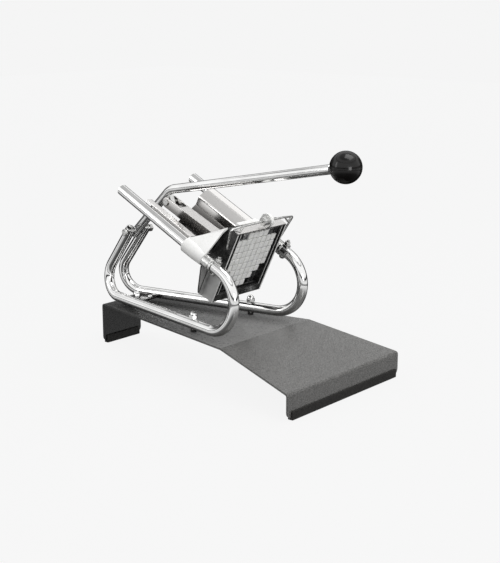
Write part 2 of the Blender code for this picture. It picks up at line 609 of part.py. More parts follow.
# ---------------------------------------------------------------- lever, link and knob
def make_lever():
    pivot = place(PIVOT[0], 0, PIVOT[1])
    corner = place(LEVER_CORNER[0], 0, LEVER_CORNER[1])
    end = place(LEVER_END[0], 0, LEVER_END[1])
    foot = pivot + (pivot - corner).normalized() * 12 * MM
    path = [foot] + rounded_corner(foot, corner, end, 34 * MM, 6) + [end]
    lever = node("lever_tube", swept_mesh("lever_tube", path, LEVER_R, 16), CHROME)
    # A lug under the bend carries the link's rear pin.
    pin = place(LINK_PIN[0], 0, LINK_PIN[1])
    along = (corner - pivot).normalized()
    lug = []
    for step in range(7):
        t = math.radians(180 + 30 * step - 26)
        lug.append(pin + Vector((math.cos(t), 0, math.sin(t))) * 9 * MM)
    foot_of_lug = pivot + along * (pin - pivot).dot(along)
    lug += [foot_of_lug + along * 14 * MM, foot_of_lug - along * 14 * MM]
    points = [Vector((p.x, side * 4.5 * MM, p.z)) for p in lug for side in (-1, 1)]
    join(lever, hull_mesh("lug", points))
    cut(lever, cylinder_mesh("pivot_hole", pivot - Vector((0, 20 * MM, 0)), pivot + Vector((0, 20 * MM, 0)),
                             PIVOT_BOLT_R + GAP, 12))
    cut(lever, cylinder_mesh("pin_hole", pin - Vector((0, 20 * MM, 0)), pin + Vector((0, 20 * MM, 0)), PIN_R + GAP, 12))
    make_pin("link_pin", pin, None)

    centre = place(BALL_CENTRE[0], 0, BALL_CENTRE[1])
    axis = (centre - end).normalized()
    flat = 17 * MM  # radius of the flat that faces the lever
    rear = -math.sqrt(BALL_R ** 2 - flat ** 2)
    bore = 5.3 * MM
    first = math.atan2(flat, rear)
    ball = [(rear + 20 * MM, 0), (rear + 20 * MM, bore), (rear, bore)]
    ball += [(BALL_R * math.cos(first * (1 - s / 9)), BALL_R * math.sin(first * (1 - s / 9))) for s in range(9)]
    ball += [(BALL_R, 0)]
    make_turned("ball_knob", ball, centre, axis, BLACK_KNOB, 24)
    stud_start = end + axis * GAP
    stud_length = (centre + axis * (rear + 19.5 * MM) - stud_start).length
    stud = [(0, 0), (0, 5 * MM), (stud_length, 5 * MM), (stud_length, 0)]
    make_turned("knob_stud", stud, stud_start, axis, BOLT_STEEL, 12)

    inner = RISER_TOP[1] - TUBE_R - 0.6 * MM
    for side, label in ((1, "left"), (-1, "right")):
        make_turned("pivot_washer_" + label, ring_profile(PIVOT_BOLT_R + GAP, 7 * MM, inner - LEVER_R - GAP),
                    pivot + Vector((0, side * (LEVER_R + GAP), 0)), (0, side, 0), BOLT_STEEL)
    outer = RISER_TOP[1] + TUBE_R + 0.6 * MM
    make_turned("pivot_bolt", bolt_profile(6.5 * MM, 3.5 * MM, PIVOT_BOLT_R, 2 * outer + 5 * MM),
                pivot - Vector((0, outer + 3.5 * MM, 0)), (0, 1, 0), BOLT_STEEL)
    make_turned("pivot_nut", hex_nut_profile(PIVOT_BOLT_R, 7 * MM, 6 * MM),
                pivot + Vector((0, outer, 0)), (0, 1, 0), BOLT_STEEL, 6)


def slant_of(x, z):
    """Where a point of the side view lies along and above the guides."""
    dx, dz = x - CUTTER[0], z - CUTTER[1]
    return (dx * math.cos(SLANT) - dz * math.sin(SLANT), dx * math.sin(SLANT) + dz * math.cos(SLANT))


def make_link():
    """A pressed channel: two side arms joined by a top web, with round rear ears and slotted front ears."""
    rear_u, rear_v = slant_of(*LINK_PIN)
    wall = 2.5 * MM
    inner = 8.4 * MM
    outer = inner + wall
    front_mid = rear_v + 6.2 * MM  # middle of the front slot: the pin rises and falls in it as the lever swings
    ear = [(rear_u + 9 * MM * math.cos(t), rear_v + 9 * MM * math.sin(t))
           for t in [math.radians(90 + 30 * s) for s in range(7)]]
    slot_mid = (rear_v + PUSHER_PIN_V + LINK_SLOT_SHIFT - rear_v)
    nose = PUSHER_PIN_U + 9 * MM
    outline = ear + [(rear_u + 26 * MM, rear_v - 8 * MM), (PUSHER_PIN_U - 22 * MM, slot_mid - 8 * MM),
                     (PUSHER_PIN_U - 10 * MM, slot_mid - 14 * MM), (nose, slot_mid - 14 * MM), (nose, slot_mid + 14 * MM),
                     (PUSHER_PIN_U - 12 * MM, slot_mid + 14 * MM), (rear_u + 30 * MM, rear_v + 9 * MM)]
    link = node("link_arm", prism_mesh("link_arm", outline, -outer, outer), STAINLESS, slant_frame)
    cut(link, box_mesh("inside", (rear_u - 20 * MM, -inner, -60 * MM), (rear_u + 34 * MM, inner, 60 * MM)), slant_frame)
    web = [(rear_u + 30 * MM, -60 * MM), (nose + 5 * MM, -60 * MM), (nose + 5 * MM, 60 * MM),
           (PUSHER_PIN_U - 14 * MM, 60 * MM), (PUSHER_PIN_U - 14 * MM, slot_mid + 11 * MM), (rear_u + 30 * MM, rear_v + 6.4 * MM)]
    cut(link, prism_mesh("hollow", web, -inner, inner), slant_frame)
    for half_width in (PIN_R + 0.4 * MM,):
        cut(link, cylinder_mesh("rear_hole", (rear_u, -30 * MM, rear_v), (rear_u, 30 * MM, rear_v), half_width, 12), slant_frame)
    slot = PIN_R + 1.2 * MM
    cut(link, box_mesh("front_slot", (PUSHER_PIN_U - slot, -30 * MM, slot_mid - 10.4 * MM),
                       (PUSHER_PIN_U + slot, 30 * MM, slot_mid + 10.4 * MM)), slant_frame)


LINK_SLOT_SHIFT = -6.2 * MM


# ---------------------------------------------------------------- bail and its roller
def make_bail():
    """A wire bail that swings over the cartridge's top, with a triangular ear at each corner."""
    u0, v0 = BAIL_PIVOT
    half = []
    for u, y, v in ((u0 / MM, 57.6, v0 / MM), (u0 / MM, 66, v0 / MM), (-5, 76, 67), (-3, 48, 71.5), (-1.5, 15, 73.5)):
        half.append(Vector((u, y, v)) * MM)
    whole = [Vector((p.x, -p.y, p.z)) for p in half] + list(reversed(half))
    path = [whole[0]]
    for before, corner, after in zip(whole, whole[1:], whole[2:]):
        turn = (corner - before).angle(after - corner)
        if turn > math.radians(25):
            path += rounded_corner(before, corner, after, 3.2 * MM, 4)
        else:
            path.append(corner)
    path.append(whole[-1])
    bail = node("bail_wire", swept_mesh("bail_wire", path, BAIL_WIRE_R, 8), CHROME, slant_frame)
    for side in (-1, 1):
        ear = [Vector(p) * MM for p in ((-3.2, side * 50, 71.3), (0, side * 59, 63.6), (-4.8, side * 73.5, 67.4))]
        join(bail, swept_mesh("ear", ear, BAIL_WIRE_R * 0.97, 8), slant_frame)
    bore = BAIL_WIRE_R + GAP
    roller = [(0, bore), (0, 6 * MM), (1 * MM, 7 * MM), (8 * MM, 7 * MM), (8 * MM, 10.5 * MM), (9.5 * MM, 11.5 * MM),
              (14.5 * MM, 11.5 * MM), (16 * MM, 10.5 * MM), (16 * MM, bore)]
    make_turned("bail_roller", roller, (-1.5 * MM, -8 * MM, BAIL_BAR_V), (0, 1, 0), PALE_PLASTIC, 20, slant_frame)


make_base()
flange_mid = PLATE / 2
make_foot("rear_rubber_foot", flange_mid, flange_mid, BASE_REAR_HALF - 6 * MM)
make_foot("front_rubber_foot", BASE_LENGTH - flange_mid, BASE_LENGTH - flange_mid, BASE_FRONT_HALF - 8 * MM)
for side, label in ((1, "left"), (-1, "right")):
    make_frame_tube("frame_tube_" + label, side)
    make_base_bolts(side, label)
    make_clamp_bolt(side, label)
    make_guides(side, label)
make_rear_tie()
make_housing()
make_trough()
make_cartridge()
make_pusher()
make_lever()
make_link()
make_bail()
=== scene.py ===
# %% [markdown]
# # A lever-operated potato chipper, for a restaurant kitchen
#
# A whole potato lies in the trough. Pulling the ball down turns the lever about its pivot at the rear, the
# lever pushes the link, and the link drives a studded block down two guide tubes. The studs end up inside the
# holes of the blade grid, so every chip falls out at the front. The machine is shown pressed, with the studs
# filling the grid. This script dresses the solid model: each cell makes one piece or one finish.

import math

import bmesh
import bpy
from mathutils import Matrix, Vector


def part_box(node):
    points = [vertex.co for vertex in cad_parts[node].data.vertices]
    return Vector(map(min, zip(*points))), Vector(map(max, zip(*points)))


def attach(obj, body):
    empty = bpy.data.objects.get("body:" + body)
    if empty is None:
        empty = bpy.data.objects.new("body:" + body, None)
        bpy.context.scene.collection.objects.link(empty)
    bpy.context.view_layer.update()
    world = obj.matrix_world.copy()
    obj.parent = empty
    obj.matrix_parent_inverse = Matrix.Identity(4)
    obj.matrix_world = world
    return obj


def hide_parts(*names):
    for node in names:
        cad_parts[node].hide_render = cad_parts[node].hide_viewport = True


scene = bpy.context.scene
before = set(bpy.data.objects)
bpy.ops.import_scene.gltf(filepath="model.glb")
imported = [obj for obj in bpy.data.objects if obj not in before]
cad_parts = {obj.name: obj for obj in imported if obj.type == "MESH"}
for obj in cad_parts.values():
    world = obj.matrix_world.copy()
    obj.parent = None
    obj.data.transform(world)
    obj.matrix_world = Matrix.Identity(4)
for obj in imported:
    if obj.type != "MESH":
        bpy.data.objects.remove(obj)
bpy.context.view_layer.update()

# %% [markdown]
# ## Where things are
#
# Lengths are easiest to think about in millimetres, so `MM` turns them into Blender's metres. X is measured
# forwards from the base plate's rear edge. The cutter, the trough and the guide tubes all slope down to the
# front at the same angle, so they get a frame of their own: u runs down along the guides, v stands square to
# them, and the origin is the middle of the cutter's front face on the guide tubes' level.

# %% The two frames
MM = 0.001
REAR_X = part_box("base_plate")[0][0]
SLANT = math.radians(26)
CUTTER_X = 310.3 * MM
CUTTER_Z = 191.4 * MM
SLANTED = Matrix.Translation((REAR_X + CUTTER_X, 0, CUTTER_Z)) @ Matrix.Rotation(SLANT, 4, "Y")
SIDES = ((1, "left"), (-1, "right"))
FORWARD, SIDEWAYS, UP = Vector((1, 0, 0)), Vector((0, 1, 0)), Vector((0, 0, 1))
DOWN_SLOPE = SLANTED.to_3x3() @ FORWARD


def place(x, y, z):
    """A point given in millimetres, its X from the base plate's rear edge."""
    return Vector((REAR_X + x * MM, y * MM, z * MM))


def on_slant(u, y, v):
    """A point given in millimetres along, across and above the guides."""
    return SLANTED @ Vector((u * MM, y * MM, v * MM))


print("rear edge at x =", round(REAR_X, 4), "and cutter centre at", on_slant(0, 0, 0))

# %% [markdown]
# ## The camera, the floor and the light
#
# A long lens from the front right and a little above keeps the tubes nearly parallel.

# %% Camera
LOOKS_DOWN = 13.675
HEADING = 40.8
camera_data = bpy.data.cameras.new("camera")
camera_data.lens = 75.93
camera_data.sensor_width = 36
camera = bpy.data.objects.new("camera", camera_data)
camera.location = place(1533.9, -1420.1, 610.3)
camera.rotation_euler = (math.radians(90 - LOOKS_DOWN), 0, math.radians(HEADING))
scene.collection.objects.link(camera)
scene.camera = camera
print("lens", camera_data.lens, "mm")

# %% [markdown]
# Chrome shows only what is round it, so the light is a white studio tent with dark lines in it: those give the
# tubes their crisp dark edge lines beside broad white ones. The tent also darkens towards the far side of the
# machine. The world shows plain pale grey to the camera itself, the tent to everything that reflects it, and
# to matt surfaces a dome that is bright above and dark below, so that upright faces stay far darker than the
# deck.


# %% Helpers for node trees
def new_node(tree, kind, **settings):
    made = tree.nodes.new("ShaderNode" + kind)
    for key, value in settings.items():
        setattr(made, key, value)
    return made


def put(node, socket, value):
    node.inputs[socket].default_value = value


def wire(source, socket):
    socket.id_data.links.new(source, socket)


def ramp(tree, source, stops):
    """A colour ramp with (position, grey or colour) stops, fed from a socket."""
    made = new_node(tree, "ValToRGB")
    wire(source, made.inputs["Fac"])
    band = made.color_ramp
    while len(band.elements) < len(stops):
        band.elements.new(0.5)
    for element, (position, tone) in zip(band.elements, stops):
        element.position = position
        element.color = (tone, tone, tone, 1) if isinstance(tone, (int, float)) else (*tone, 1)
    return made.outputs["Color"]


print("node helpers ready")

# %% Studio tent and background
scene.view_settings.view_transform = "Standard"
world = bpy.data.worlds.new("studio_tent")
world.use_nodes = True
scene.world = world
tree = world.node_tree
tree.nodes.clear()
BACKGROUND = (0.913, 0.913, 0.913, 1)
TENT_STRENGTH, DOME_STRENGTH = 1.1, 1.25
BEHIND = (-0.653, 0.757, 0)  # level direction from the camera to the machine
direction = new_node(tree, "TexCoord").outputs["Generated"]


def facing_share(vector):
    """0 where the direction is opposite to the vector, 1 where it is along it."""
    dot = new_node(tree, "VectorMath", operation="DOT_PRODUCT")
    wire(direction, dot.inputs[0])
    put(dot, 1, vector)
    half = new_node(tree, "Math", operation="MULTIPLY_ADD")
    wire(dot.outputs["Value"], half.inputs[0])
    put(half, 1, 0.5)
    put(half, 2, 0.5)
    return half.outputs["Value"]


height_share = facing_share((0, 0, 1))
by_height = ramp(tree, height_share, [
    (0.00, 0.03), (0.20, 0.12), (0.32, 0.65), (0.365, 0.85),
    (0.375, 0.12), (0.395, 0.12),  # a dark line below the horizon
    (0.41, 0.90), (0.47, 0.80),
    (0.49, 0.02), (0.525, 0.02),  # the dark horizon
    (0.55, 1.0), (0.79, 1.0),
    (0.80, 0.30), (0.815, 0.30),  # a grey line high up
    (0.83, 1.0), (0.90, 1.0), (0.935, 0.40), (1.00, 0.55)])
by_side = ramp(tree, facing_share(BEHIND), [(0.00, 1.0), (0.66, 1.0), (0.74, 0.15), (0.86, 0.08), (1.00, 0.12)])
dome = ramp(tree, height_share, [(0.00, 0.03), (0.35, 0.26), (0.50, 0.60), (0.75, 0.85), (1.00, 1.0)])
tent = new_node(tree, "Mix", data_type="RGBA", blend_type="MULTIPLY")
wire(ramp(tree, height_share, [(0.30, 1.0), (0.66, 1.0), (0.78, 0.0)]), tent.inputs["Factor"])
wire(by_height, tent.inputs[6])
wire(by_side, tent.inputs[7])
tent_light = new_node(tree, "Background")
wire(tent.outputs[2], tent_light.inputs["Color"])
put(tent_light, "Strength", TENT_STRENGTH)
dome_light = new_node(tree, "Background")
wire(dome, dome_light.inputs["Color"])
put(dome_light, "Strength", DOME_STRENGTH)
plain = new_node(tree, "Background")
put(plain, "Color", BACKGROUND)
light_path = new_node(tree, "LightPath")


def choose(ray, otherwise, chosen):
    """One background for a kind of ray, another for every other kind."""
    chooser = new_node(tree, "MixShader")
    wire(light_path.outputs[ray], chooser.inputs["Fac"])
    wire(otherwise, chooser.inputs[1])
    wire(chosen, chooser.inputs[2])
    return chooser.outputs["Shader"]


lit = choose("Is Glossy Ray", dome_light.outputs["Background"], tent_light.outputs["Background"])
seen = choose("Is Camera Ray", lit, plain.outputs["Background"])
wire(seen, new_node(tree, "OutputWorld").inputs["Surface"])
print("tent set")

# %% [markdown]
# Three soft boxes add the broad highlights: one overhead, one low on the right and a tall one on the left.


# %% Soft boxes
def soft_box(name, at, aim, width, depth, power):
    """A rectangular light that faces a point."""
    data = bpy.data.lights.new(name, "AREA")
    data.shape = "RECTANGLE"
    data.size = width
    data.size_y = depth
    data.energy = power
    made = bpy.data.objects.new(name, data)
    made.location = at
    made.rotation_euler = (Vector(aim) - Vector(at)).to_track_quat("-Z", "Y").to_euler()
    scene.collection.objects.link(made)


MIDDLE = (0, 0, 0.15)
soft_box("top_box", (0.5, 0.2, 1.6), MIDDLE, 0.9, 0.9, 9)
soft_box("right_box", (1.6, -0.6, 0.35), MIDDLE, 0.5, 0.5, 5)
soft_box("left_box", (-0.9, -1.5, 0.9), MIDDLE, 0.3, 1.0, 3)
print("three soft boxes")

# %% [markdown]
# The floor is pale paper that glows a little, so that it meets the background without a line.

# %% Floor
FLOOR_HALF = 6
bm = bmesh.new()
bmesh.ops.create_grid(bm, x_segments=1, y_segments=1, size=FLOOR_HALF)
floor_mesh = bpy.data.meshes.new("floor")
bm.to_mesh(floor_mesh)
bm.free()
floor = bpy.data.objects.new("floor", floor_mesh)
floor.location = (0, 0, -0.0005)
scene.collection.objects.link(floor)
floor_paper = bpy.data.materials.new("floor_paper")
floor_paper.use_nodes = True
paper = floor_paper.node_tree.nodes["Principled BSDF"]
put(paper, "Base Color", (0.03, 0.03, 0.03, 1))
put(paper, "Roughness", 0.9)
put(paper, "Specular IOR Level", 0.0)
put(paper, "Emission Color", (1, 1, 1, 1))
put(paper, "Emission Strength", 0.885)
floor_mesh.materials.append(floor_paper)
floor.visible_glossy = False  # the tent, not the paper, shows in the chrome
floor.visible_diffuse = False  # and the paper throws no light up on to the machine
print("floor laid")


# %% [markdown]
# ## Finishes
#
# Each finish is a Principled shader with patterns in the object's own coordinates, at the size they have on
# the real thing. Metal comes from Metallic 1 and a low roughness; what makes it look real is a faint waviness,
# fine rub marks and patches that are a little duller. `pattern` gives one noise, `vary_colour` and
# `vary_roughness` spread it over two tones or two roughnesses, and `bump` turns it into relief whose height
# is in metres.

# %% Material helpers
def finish(name, colour, metallic, roughness):
    """(material, its node tree, its Principled shader)."""
    made = bpy.data.materials.new(name)
    made.use_nodes = True
    shader = made.node_tree.nodes["Principled BSDF"]
    put(shader, "Base Color", (*colour, 1))
    put(shader, "Metallic", metallic)
    put(shader, "Roughness", roughness)
    return made, made.node_tree, shader


def pattern(tree, per_metre, detail=2.0, stretch=(1, 1, 1), turn=(0, 0, 0)):
    """A noise of that many blobs in a metre; stretch squeezes it along X, Y or Z."""
    place_node = new_node(tree, "Mapping")
    wire(object_point(tree), place_node.inputs["Vector"])
    put(place_node, "Rotation", turn)
    put(place_node, "Scale", stretch)
    noise = new_node(tree, "TexNoise")
    wire(place_node.outputs["Vector"], noise.inputs["Vector"])
    put(noise, "Scale", per_metre)
    put(noise, "Detail", detail)
    return noise.outputs["Fac"]


def between(tree, source, low, high, from_low=0.35, from_high=0.65):
    """Maps a pattern's middle range to low..high."""
    made = new_node(tree, "MapRange")
    wire(source, made.inputs["Value"])
    put(made, "From Min", from_low)
    put(made, "From Max", from_high)
    put(made, "To Min", low)
    put(made, "To Max", high)
    return made.outputs["Result"]


def vary_roughness(tree, shader, source, low, high):
    wire(between(tree, source, low, high), shader.inputs["Roughness"])


def vary_colour(tree, shader, source, dark, light):
    wire(ramp(tree, source, [(0.35, dark), (0.65, light)]), shader.inputs["Base Color"])


def object_point(tree):
    return new_node(tree, "TexCoord").outputs["Object"]


def bump(tree, shader, source, height, under=None):
    """Relief of that height in metres; under chains a coarser relief below it."""
    made = new_node(tree, "Bump")
    put(made, "Strength", 1.0)
    put(made, "Distance", height)
    wire(source, made.inputs["Height"])
    if under is not None:
        wire(under, made.inputs["Normal"])
    wire(made.outputs["Normal"], shader.inputs["Normal"])
    return made.outputs["Normal"]


print("finish helpers ready")

# %% [markdown]
# Chrome is nearly a mirror, with a slow ripple. Zinc plate is greyer, and mottled.

# %% Chrome plate on the tubes
chrome, tree, shader = finish("chrome_plate", (0.82, 0.82, 0.815), 1.0, 0.06)
vary_roughness(tree, shader, pattern(tree, 60, 3), 0.07, 0.10)
vary_colour(tree, shader, pattern(tree, 25, 2), (0.77, 0.77, 0.765), (0.87, 0.87, 0.865))
bump(tree, shader, pattern(tree, 30, 1), 0.000015)
print("chrome ready")

# %% Zinc plate on the bolts and washers
zinc, tree, shader = finish("zinc_plate", (0.62, 0.62, 0.61), 1.0, 0.25)
vary_roughness(tree, shader, pattern(tree, 300, 3), 0.18, 0.34)
vary_colour(tree, shader, pattern(tree, 180, 3), (0.50, 0.50, 0.49), (0.72, 0.72, 0.71))
bump(tree, shader, pattern(tree, 1200, 2), 0.000003)
print("plated finishes ready")

# %% [markdown]
# Sheet steel is polished by a belt that runs along it, so its marks are long and thin. Squeezing a noise
# along one direction draws them, and the pattern is turned by the slope's angle. The sheet is coloured darker
# the deeper it lies below the guides, as painted shade for the deep inside of the trough, not a property of the
# steel. The blade frame's dark steel is a guess, and is painted shade for the shade round the blades.

# %% Polished stainless sheet, and ground blade steel
sheet_steel, tree, shader = finish("polished_sheet", (0.80, 0.785, 0.77), 1.0, 0.2)
grain = pattern(tree, 700, 3, (0.04, 1, 1), (0, SLANT, 0))
vary_roughness(tree, shader, grain, 0.17, 0.21)
slope_frame = new_node(tree, "Mapping", vector_type="TEXTURE")
wire(object_point(tree), slope_frame.inputs["Vector"])
put(slope_frame, "Location", SLANTED.translation)
put(slope_frame, "Rotation", (0, SLANT, 0))
above_guides = new_node(tree, "SeparateXYZ")
wire(slope_frame.outputs["Vector"], above_guides.inputs["Vector"])
# Painted shade: the sheet is coloured darker the deeper it lies below the guides.
DEEPEST, HIGHEST = -60 * MM, 12 * MM
height = between(tree, above_guides.outputs["Z"], 0, 1, DEEPEST, HIGHEST)
painted_depth_shade_tones = [(0.0, (0.05, 0.048, 0.047)), (0.45, (0.10, 0.097, 0.094)), (0.62, (0.34, 0.33, 0.32)),
               (0.76, (0.90, 0.885, 0.87))]
wire(ramp(tree, height, painted_depth_shade_tones), shader.inputs["Base Color"])
bump(tree, shader, pattern(tree, 12, 1), 0.00003)

blade_steel, tree, shader = finish("ground_blade_steel", (0.45, 0.45, 0.455), 1.0, 0.22)
grain = pattern(tree, 900, 2, (1, 0.05, 1), (0, SLANT, 0))
vary_roughness(tree, shader, grain, 0.16, 0.32)

# Painted shade: the blade frame's dark steel stands for the shade round the blades.
shadow_steel, tree, shader = finish("painted_shade_steel", (0.10, 0.10, 0.10), 1.0, 0.35)
vary_colour(tree, shader, pattern(tree, 150, 3), (0.05, 0.05, 0.05), (0.16, 0.16, 0.16))
vary_roughness(tree, shader, pattern(tree, 400, 2), 0.28, 0.45)
print("steels ready")

# %% [markdown]
# The base is powder coated with a texture: the powder melts into grains, here about a millimetre and a half
# across, that catch the light. Voronoi cells are rounder than noise, so they make the grains, and a noise
# breaks them up. The hollows between the grains are coloured darker, as painted shade. The coat is also
# coloured darker towards the rear, as painted shade, and given a stronger sheen towards the front, as a painted
# sheen. Both are choices made for the look, standing for how the light falls on the deck.

# %% Textured powder coat
powder_coat, tree, shader = finish("powder_coat", (0.16, 0.16, 0.155), 0.0, 0.42)
cells = new_node(tree, "TexVoronoi", feature="SMOOTH_F1")
wire(object_point(tree), cells.inputs["Vector"])
put(cells, "Scale", 620)
put(cells, "Smoothness", 0.6)
grains = cells.outputs["Distance"]
along_base = new_node(tree, "SeparateXYZ")
wire(object_point(tree), along_base.inputs["Vector"])
coat = new_node(tree, "Mix", data_type="RGBA", blend_type="MULTIPLY")
put(coat, "Factor", 1.0)
# Painted shade: the hollows between the grains are coloured darker.
grain_and_hollow_shade_tones = [(0.15, (0.165, 0.163, 0.158)), (0.62, (0.045, 0.044, 0.042))]
wire(ramp(tree, grains, grain_and_hollow_shade_tones), coat.inputs[6])
# Painted shade: the coat is coloured darker towards the rear.
forward = between(tree, along_base.outputs["X"], 0, 1, REAR_X, -REAR_X)
wire(ramp(tree, forward, [(0.0, 0.08), (0.40, 0.20), (0.72, 1.0)]), coat.inputs[7])
# Painted sheen: the sheen is made stronger towards the front.
wire(between(tree, forward, 0.15, 0.9, 0.2, 0.7), shader.inputs["Sheen Weight"])
wire(coat.outputs[2], shader.inputs["Base Color"])
vary_roughness(tree, shader, pattern(tree, 240, 3), 0.24, 0.38)
put(shader, "Specular IOR Level", 0.5)
put(shader, "Sheen Roughness", 0.3)
rough = bump(tree, shader, pattern(tree, 380, 3), 0.0001)
bump(tree, shader, grains, -0.00013, rough)
print("powder coat ready")

# %% [markdown]
# The casting's white enamel flows out smooth but for a faint orange-peel relief.

# %% Enamel on the casting
enamel, tree, shader = finish("casting_enamel", (0.74, 0.74, 0.73), 0.0, 0.3)
vary_colour(tree, shader, pattern(tree, 35, 3), (0.66, 0.66, 0.65), (0.73, 0.73, 0.72))
vary_roughness(tree, shader, pattern(tree, 220, 2), 0.24, 0.38)
bump(tree, shader, pattern(tree, 260, 2), 0.00008)
print("enamel ready")

# %% [markdown]
# How the inside of the housing is finished isn't known. It is given a dark, glossy colour as painted shade,
# for the deep shade there, with thin bright lines along the ribs. A dark, glossy coat is a guess that keeps it
# in deep shade, with thin bright lines along the ribs. The duller grey on the flanges and the lower cheeks is
# a darker copy of the enamel, as painted shade. The duller grey enamel on the flanges is another guess.

# %% Painted shade inside the housing: a dark glossy colour
shade_coat, tree, shader = finish("painted_shade_coat", (0.02, 0.02, 0.02), 0.0, 0.25)
vary_colour(tree, shader, pattern(tree, 120, 3), (0.012, 0.012, 0.012), (0.035, 0.035, 0.034))
vary_roughness(tree, shader, pattern(tree, 260, 2), 0.15, 0.35)
bump(tree, shader, pattern(tree, 300, 2), 0.00008)

# %% Painted shade on the flanges and the lower cheeks: a darker copy of the enamel
shaded_enamel, tree, shader = finish("painted_shade_enamel", (0.36, 0.36, 0.355), 0.0, 0.4)
vary_colour(tree, shader, pattern(tree, 60, 3), (0.31, 0.31, 0.305), (0.42, 0.42, 0.415))
bump(tree, shader, pattern(tree, 300, 2), 0.0001)
print("housing coats ready")

# %% [markdown]
# White food plastic lets a little light in under its skin, which softens the edges of the studs.

# %% Moulded plastic of the pusher and the roller
plastic, tree, shader = finish("food_plastic", (0.80, 0.80, 0.78), 0.0, 0.35)
vary_colour(tree, shader, pattern(tree, 90, 3), (0.80, 0.80, 0.785), (0.88, 0.88, 0.865))
put(shader, "Subsurface Weight", 0.08)
put(shader, "Subsurface Radius", (0.004, 0.004, 0.0035))
vary_roughness(tree, shader, pattern(tree, 500, 2), 0.28, 0.45)
bump(tree, shader, pattern(tree, 1400, 2), 0.00003)
print("plastic ready")

# %% [markdown]
# Rubber is matt and mottled. The knob is black and glossy, with a very slight unevenness.

# %% Rubber, and the knob's polished phenolic
rubber, tree, shader = finish("foot_rubber", (0.012, 0.011, 0.0105), 0.0, 0.6)
put(shader, "Specular IOR Level", 0.3)
vary_colour(tree, shader, pattern(tree, 300, 3), (0.009, 0.0085, 0.008), (0.018, 0.017, 0.016))
vary_roughness(tree, shader, pattern(tree, 400, 3), 0.5, 0.75)
bump(tree, shader, pattern(tree, 1500, 3), 0.00005)

phenolic, tree, shader = finish("knob_phenolic", (0.004, 0.0036, 0.0034), 0.0, 0.09)
put(shader, "Specular IOR Level", 0.35)
vary_roughness(tree, shader, pattern(tree, 120, 3), 0.14, 0.22)
bump(tree, shader, pattern(tree, 700, 2), 0.000006)
print("all finishes ready")

# %% [markdown]
# ## From bmesh to a piece
#
# Every piece ends the same way: doubled points are merged, the faces are turned outwards, a bevel may round
# its edges, and it is hung on the body it moves with, and the plain solid that it stands for is hidden.


# %% Piece helpers
def piece(name, bm, material, body, slot, replaces=(), bevel=0.0, slanted=False, segments=3, sharp=32):
    """Makes the object. slanted says that its points are in the guides' frame; bevel is in millimetres."""
    bmesh.ops.remove_doubles(bm, verts=bm.verts, dist=1e-6)
    bmesh.ops.recalc_face_normals(bm, faces=bm.faces)
    if slanted:
        bmesh.ops.transform(bm, matrix=SLANTED, verts=bm.verts)
    mesh = bpy.data.meshes.new(name)
    bm.to_mesh(mesh)
    bm.free()
    made = bpy.data.objects.new(name, mesh)
    scene.collection.objects.link(made)
    mesh.materials.append(material)
    mesh.shade_smooth()
    mesh.set_sharp_from_angle(angle=math.radians(sharp))
    if bevel:
        rounding = made.modifiers.new("rounding", "BEVEL")
        rounding.width = bevel * MM
        rounding.segments = segments
        rounding.limit_method = "ANGLE"
        rounding.angle_limit = math.radians(sharp)
        rounding.harden_normals = True
    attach(made, body)
    if replaces:
        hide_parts(*replaces)
    print(name, len(mesh.polygons), "faces")
    return made


def add_box(bm, low, high):
    """A box between two corners in millimetres, added to a bmesh."""
    made = bmesh.ops.create_cube(bm, size=1)["verts"]
    size = (Vector(high) - Vector(low)) * MM
    bmesh.ops.scale(bm, vec=size, verts=made)
    bmesh.ops.translate(bm, vec=(Vector(high) + Vector(low)) / 2 * MM, verts=made)


def add_turned(bm, profile, at, along, steps=32):
    """A closed or axis-to-axis profile of (distance, radius) millimetres, spun about an axis. at is in metres."""
    verts = [bm.verts.new((radius * MM, 0, distance * MM)) for distance, radius in profile]
    ends = zip(verts, verts[1:] + verts[:1]) if profile[0][1] > 0 else zip(verts, verts[1:])
    edges = [bm.edges.new(pair) for pair in ends]
    bmesh.ops.spin(bm, geom=verts + edges, axis=(0, 0, 1), angle=math.tau, steps=steps, use_merge=True)
    turn = Vector(along).to_track_quat("Z", "Y").to_matrix().to_4x4()
    fresh = [v for v in bm.verts if not v.tag]
    bmesh.ops.transform(bm, matrix=Matrix.Translation(at) @ turn, verts=fresh)
    for vert in fresh:
        vert.tag = True


def parts_of(grown, kind):
    return [item for item in grown["geom"] if isinstance(item, kind)]


def extrude_line(bm, edges):
    """(the new points, the new edges) of a row of edges that is pulled out into faces."""
    grown = bmesh.ops.extrude_edge_only(bm, edges=edges)
    return parts_of(grown, bmesh.types.BMVert), parts_of(grown, bmesh.types.BMEdge)


def add_prism(bm, points, offset):
    """A face through points in metres, made solid along an offset."""
    face = bm.faces.new([bm.verts.new(point) for point in points])
    grown = bmesh.ops.extrude_face_region(bm, geom=[face], use_keep_orig=True)
    bmesh.ops.translate(bm, vec=offset, verts=parts_of(grown, bmesh.types.BMVert))


def add_plate(bm, outline, y_low, y_high):
    """An outline of (u, v) millimetres made solid between two widths."""
    add_prism(bm, [(u * MM, y_low * MM, v * MM) for u, v in outline], (0, (y_high - y_low) * MM, 0))


def face_outwards(bm):
    bmesh.ops.recalc_face_normals(bm, faces=bm.faces)
    bm.normal_update()


def agree(bm, upwards):
    """Makes an open skin's faces agree, and turns them all up or all down."""
    face_outwards(bm)
    if (sum(f.normal.z * f.calc_area() for f in bm.faces) > 0) != upwards:
        bmesh.ops.reverse_faces(bm, faces=bm.faces)


print("piece helpers ready")

# %% [markdown]
# Folds in sheet and bends in tube are corners made round. `rounded` softens the corners of a flat outline, and
# `bend` gives the true arc between two straight runs in space, as a tube bender makes it.


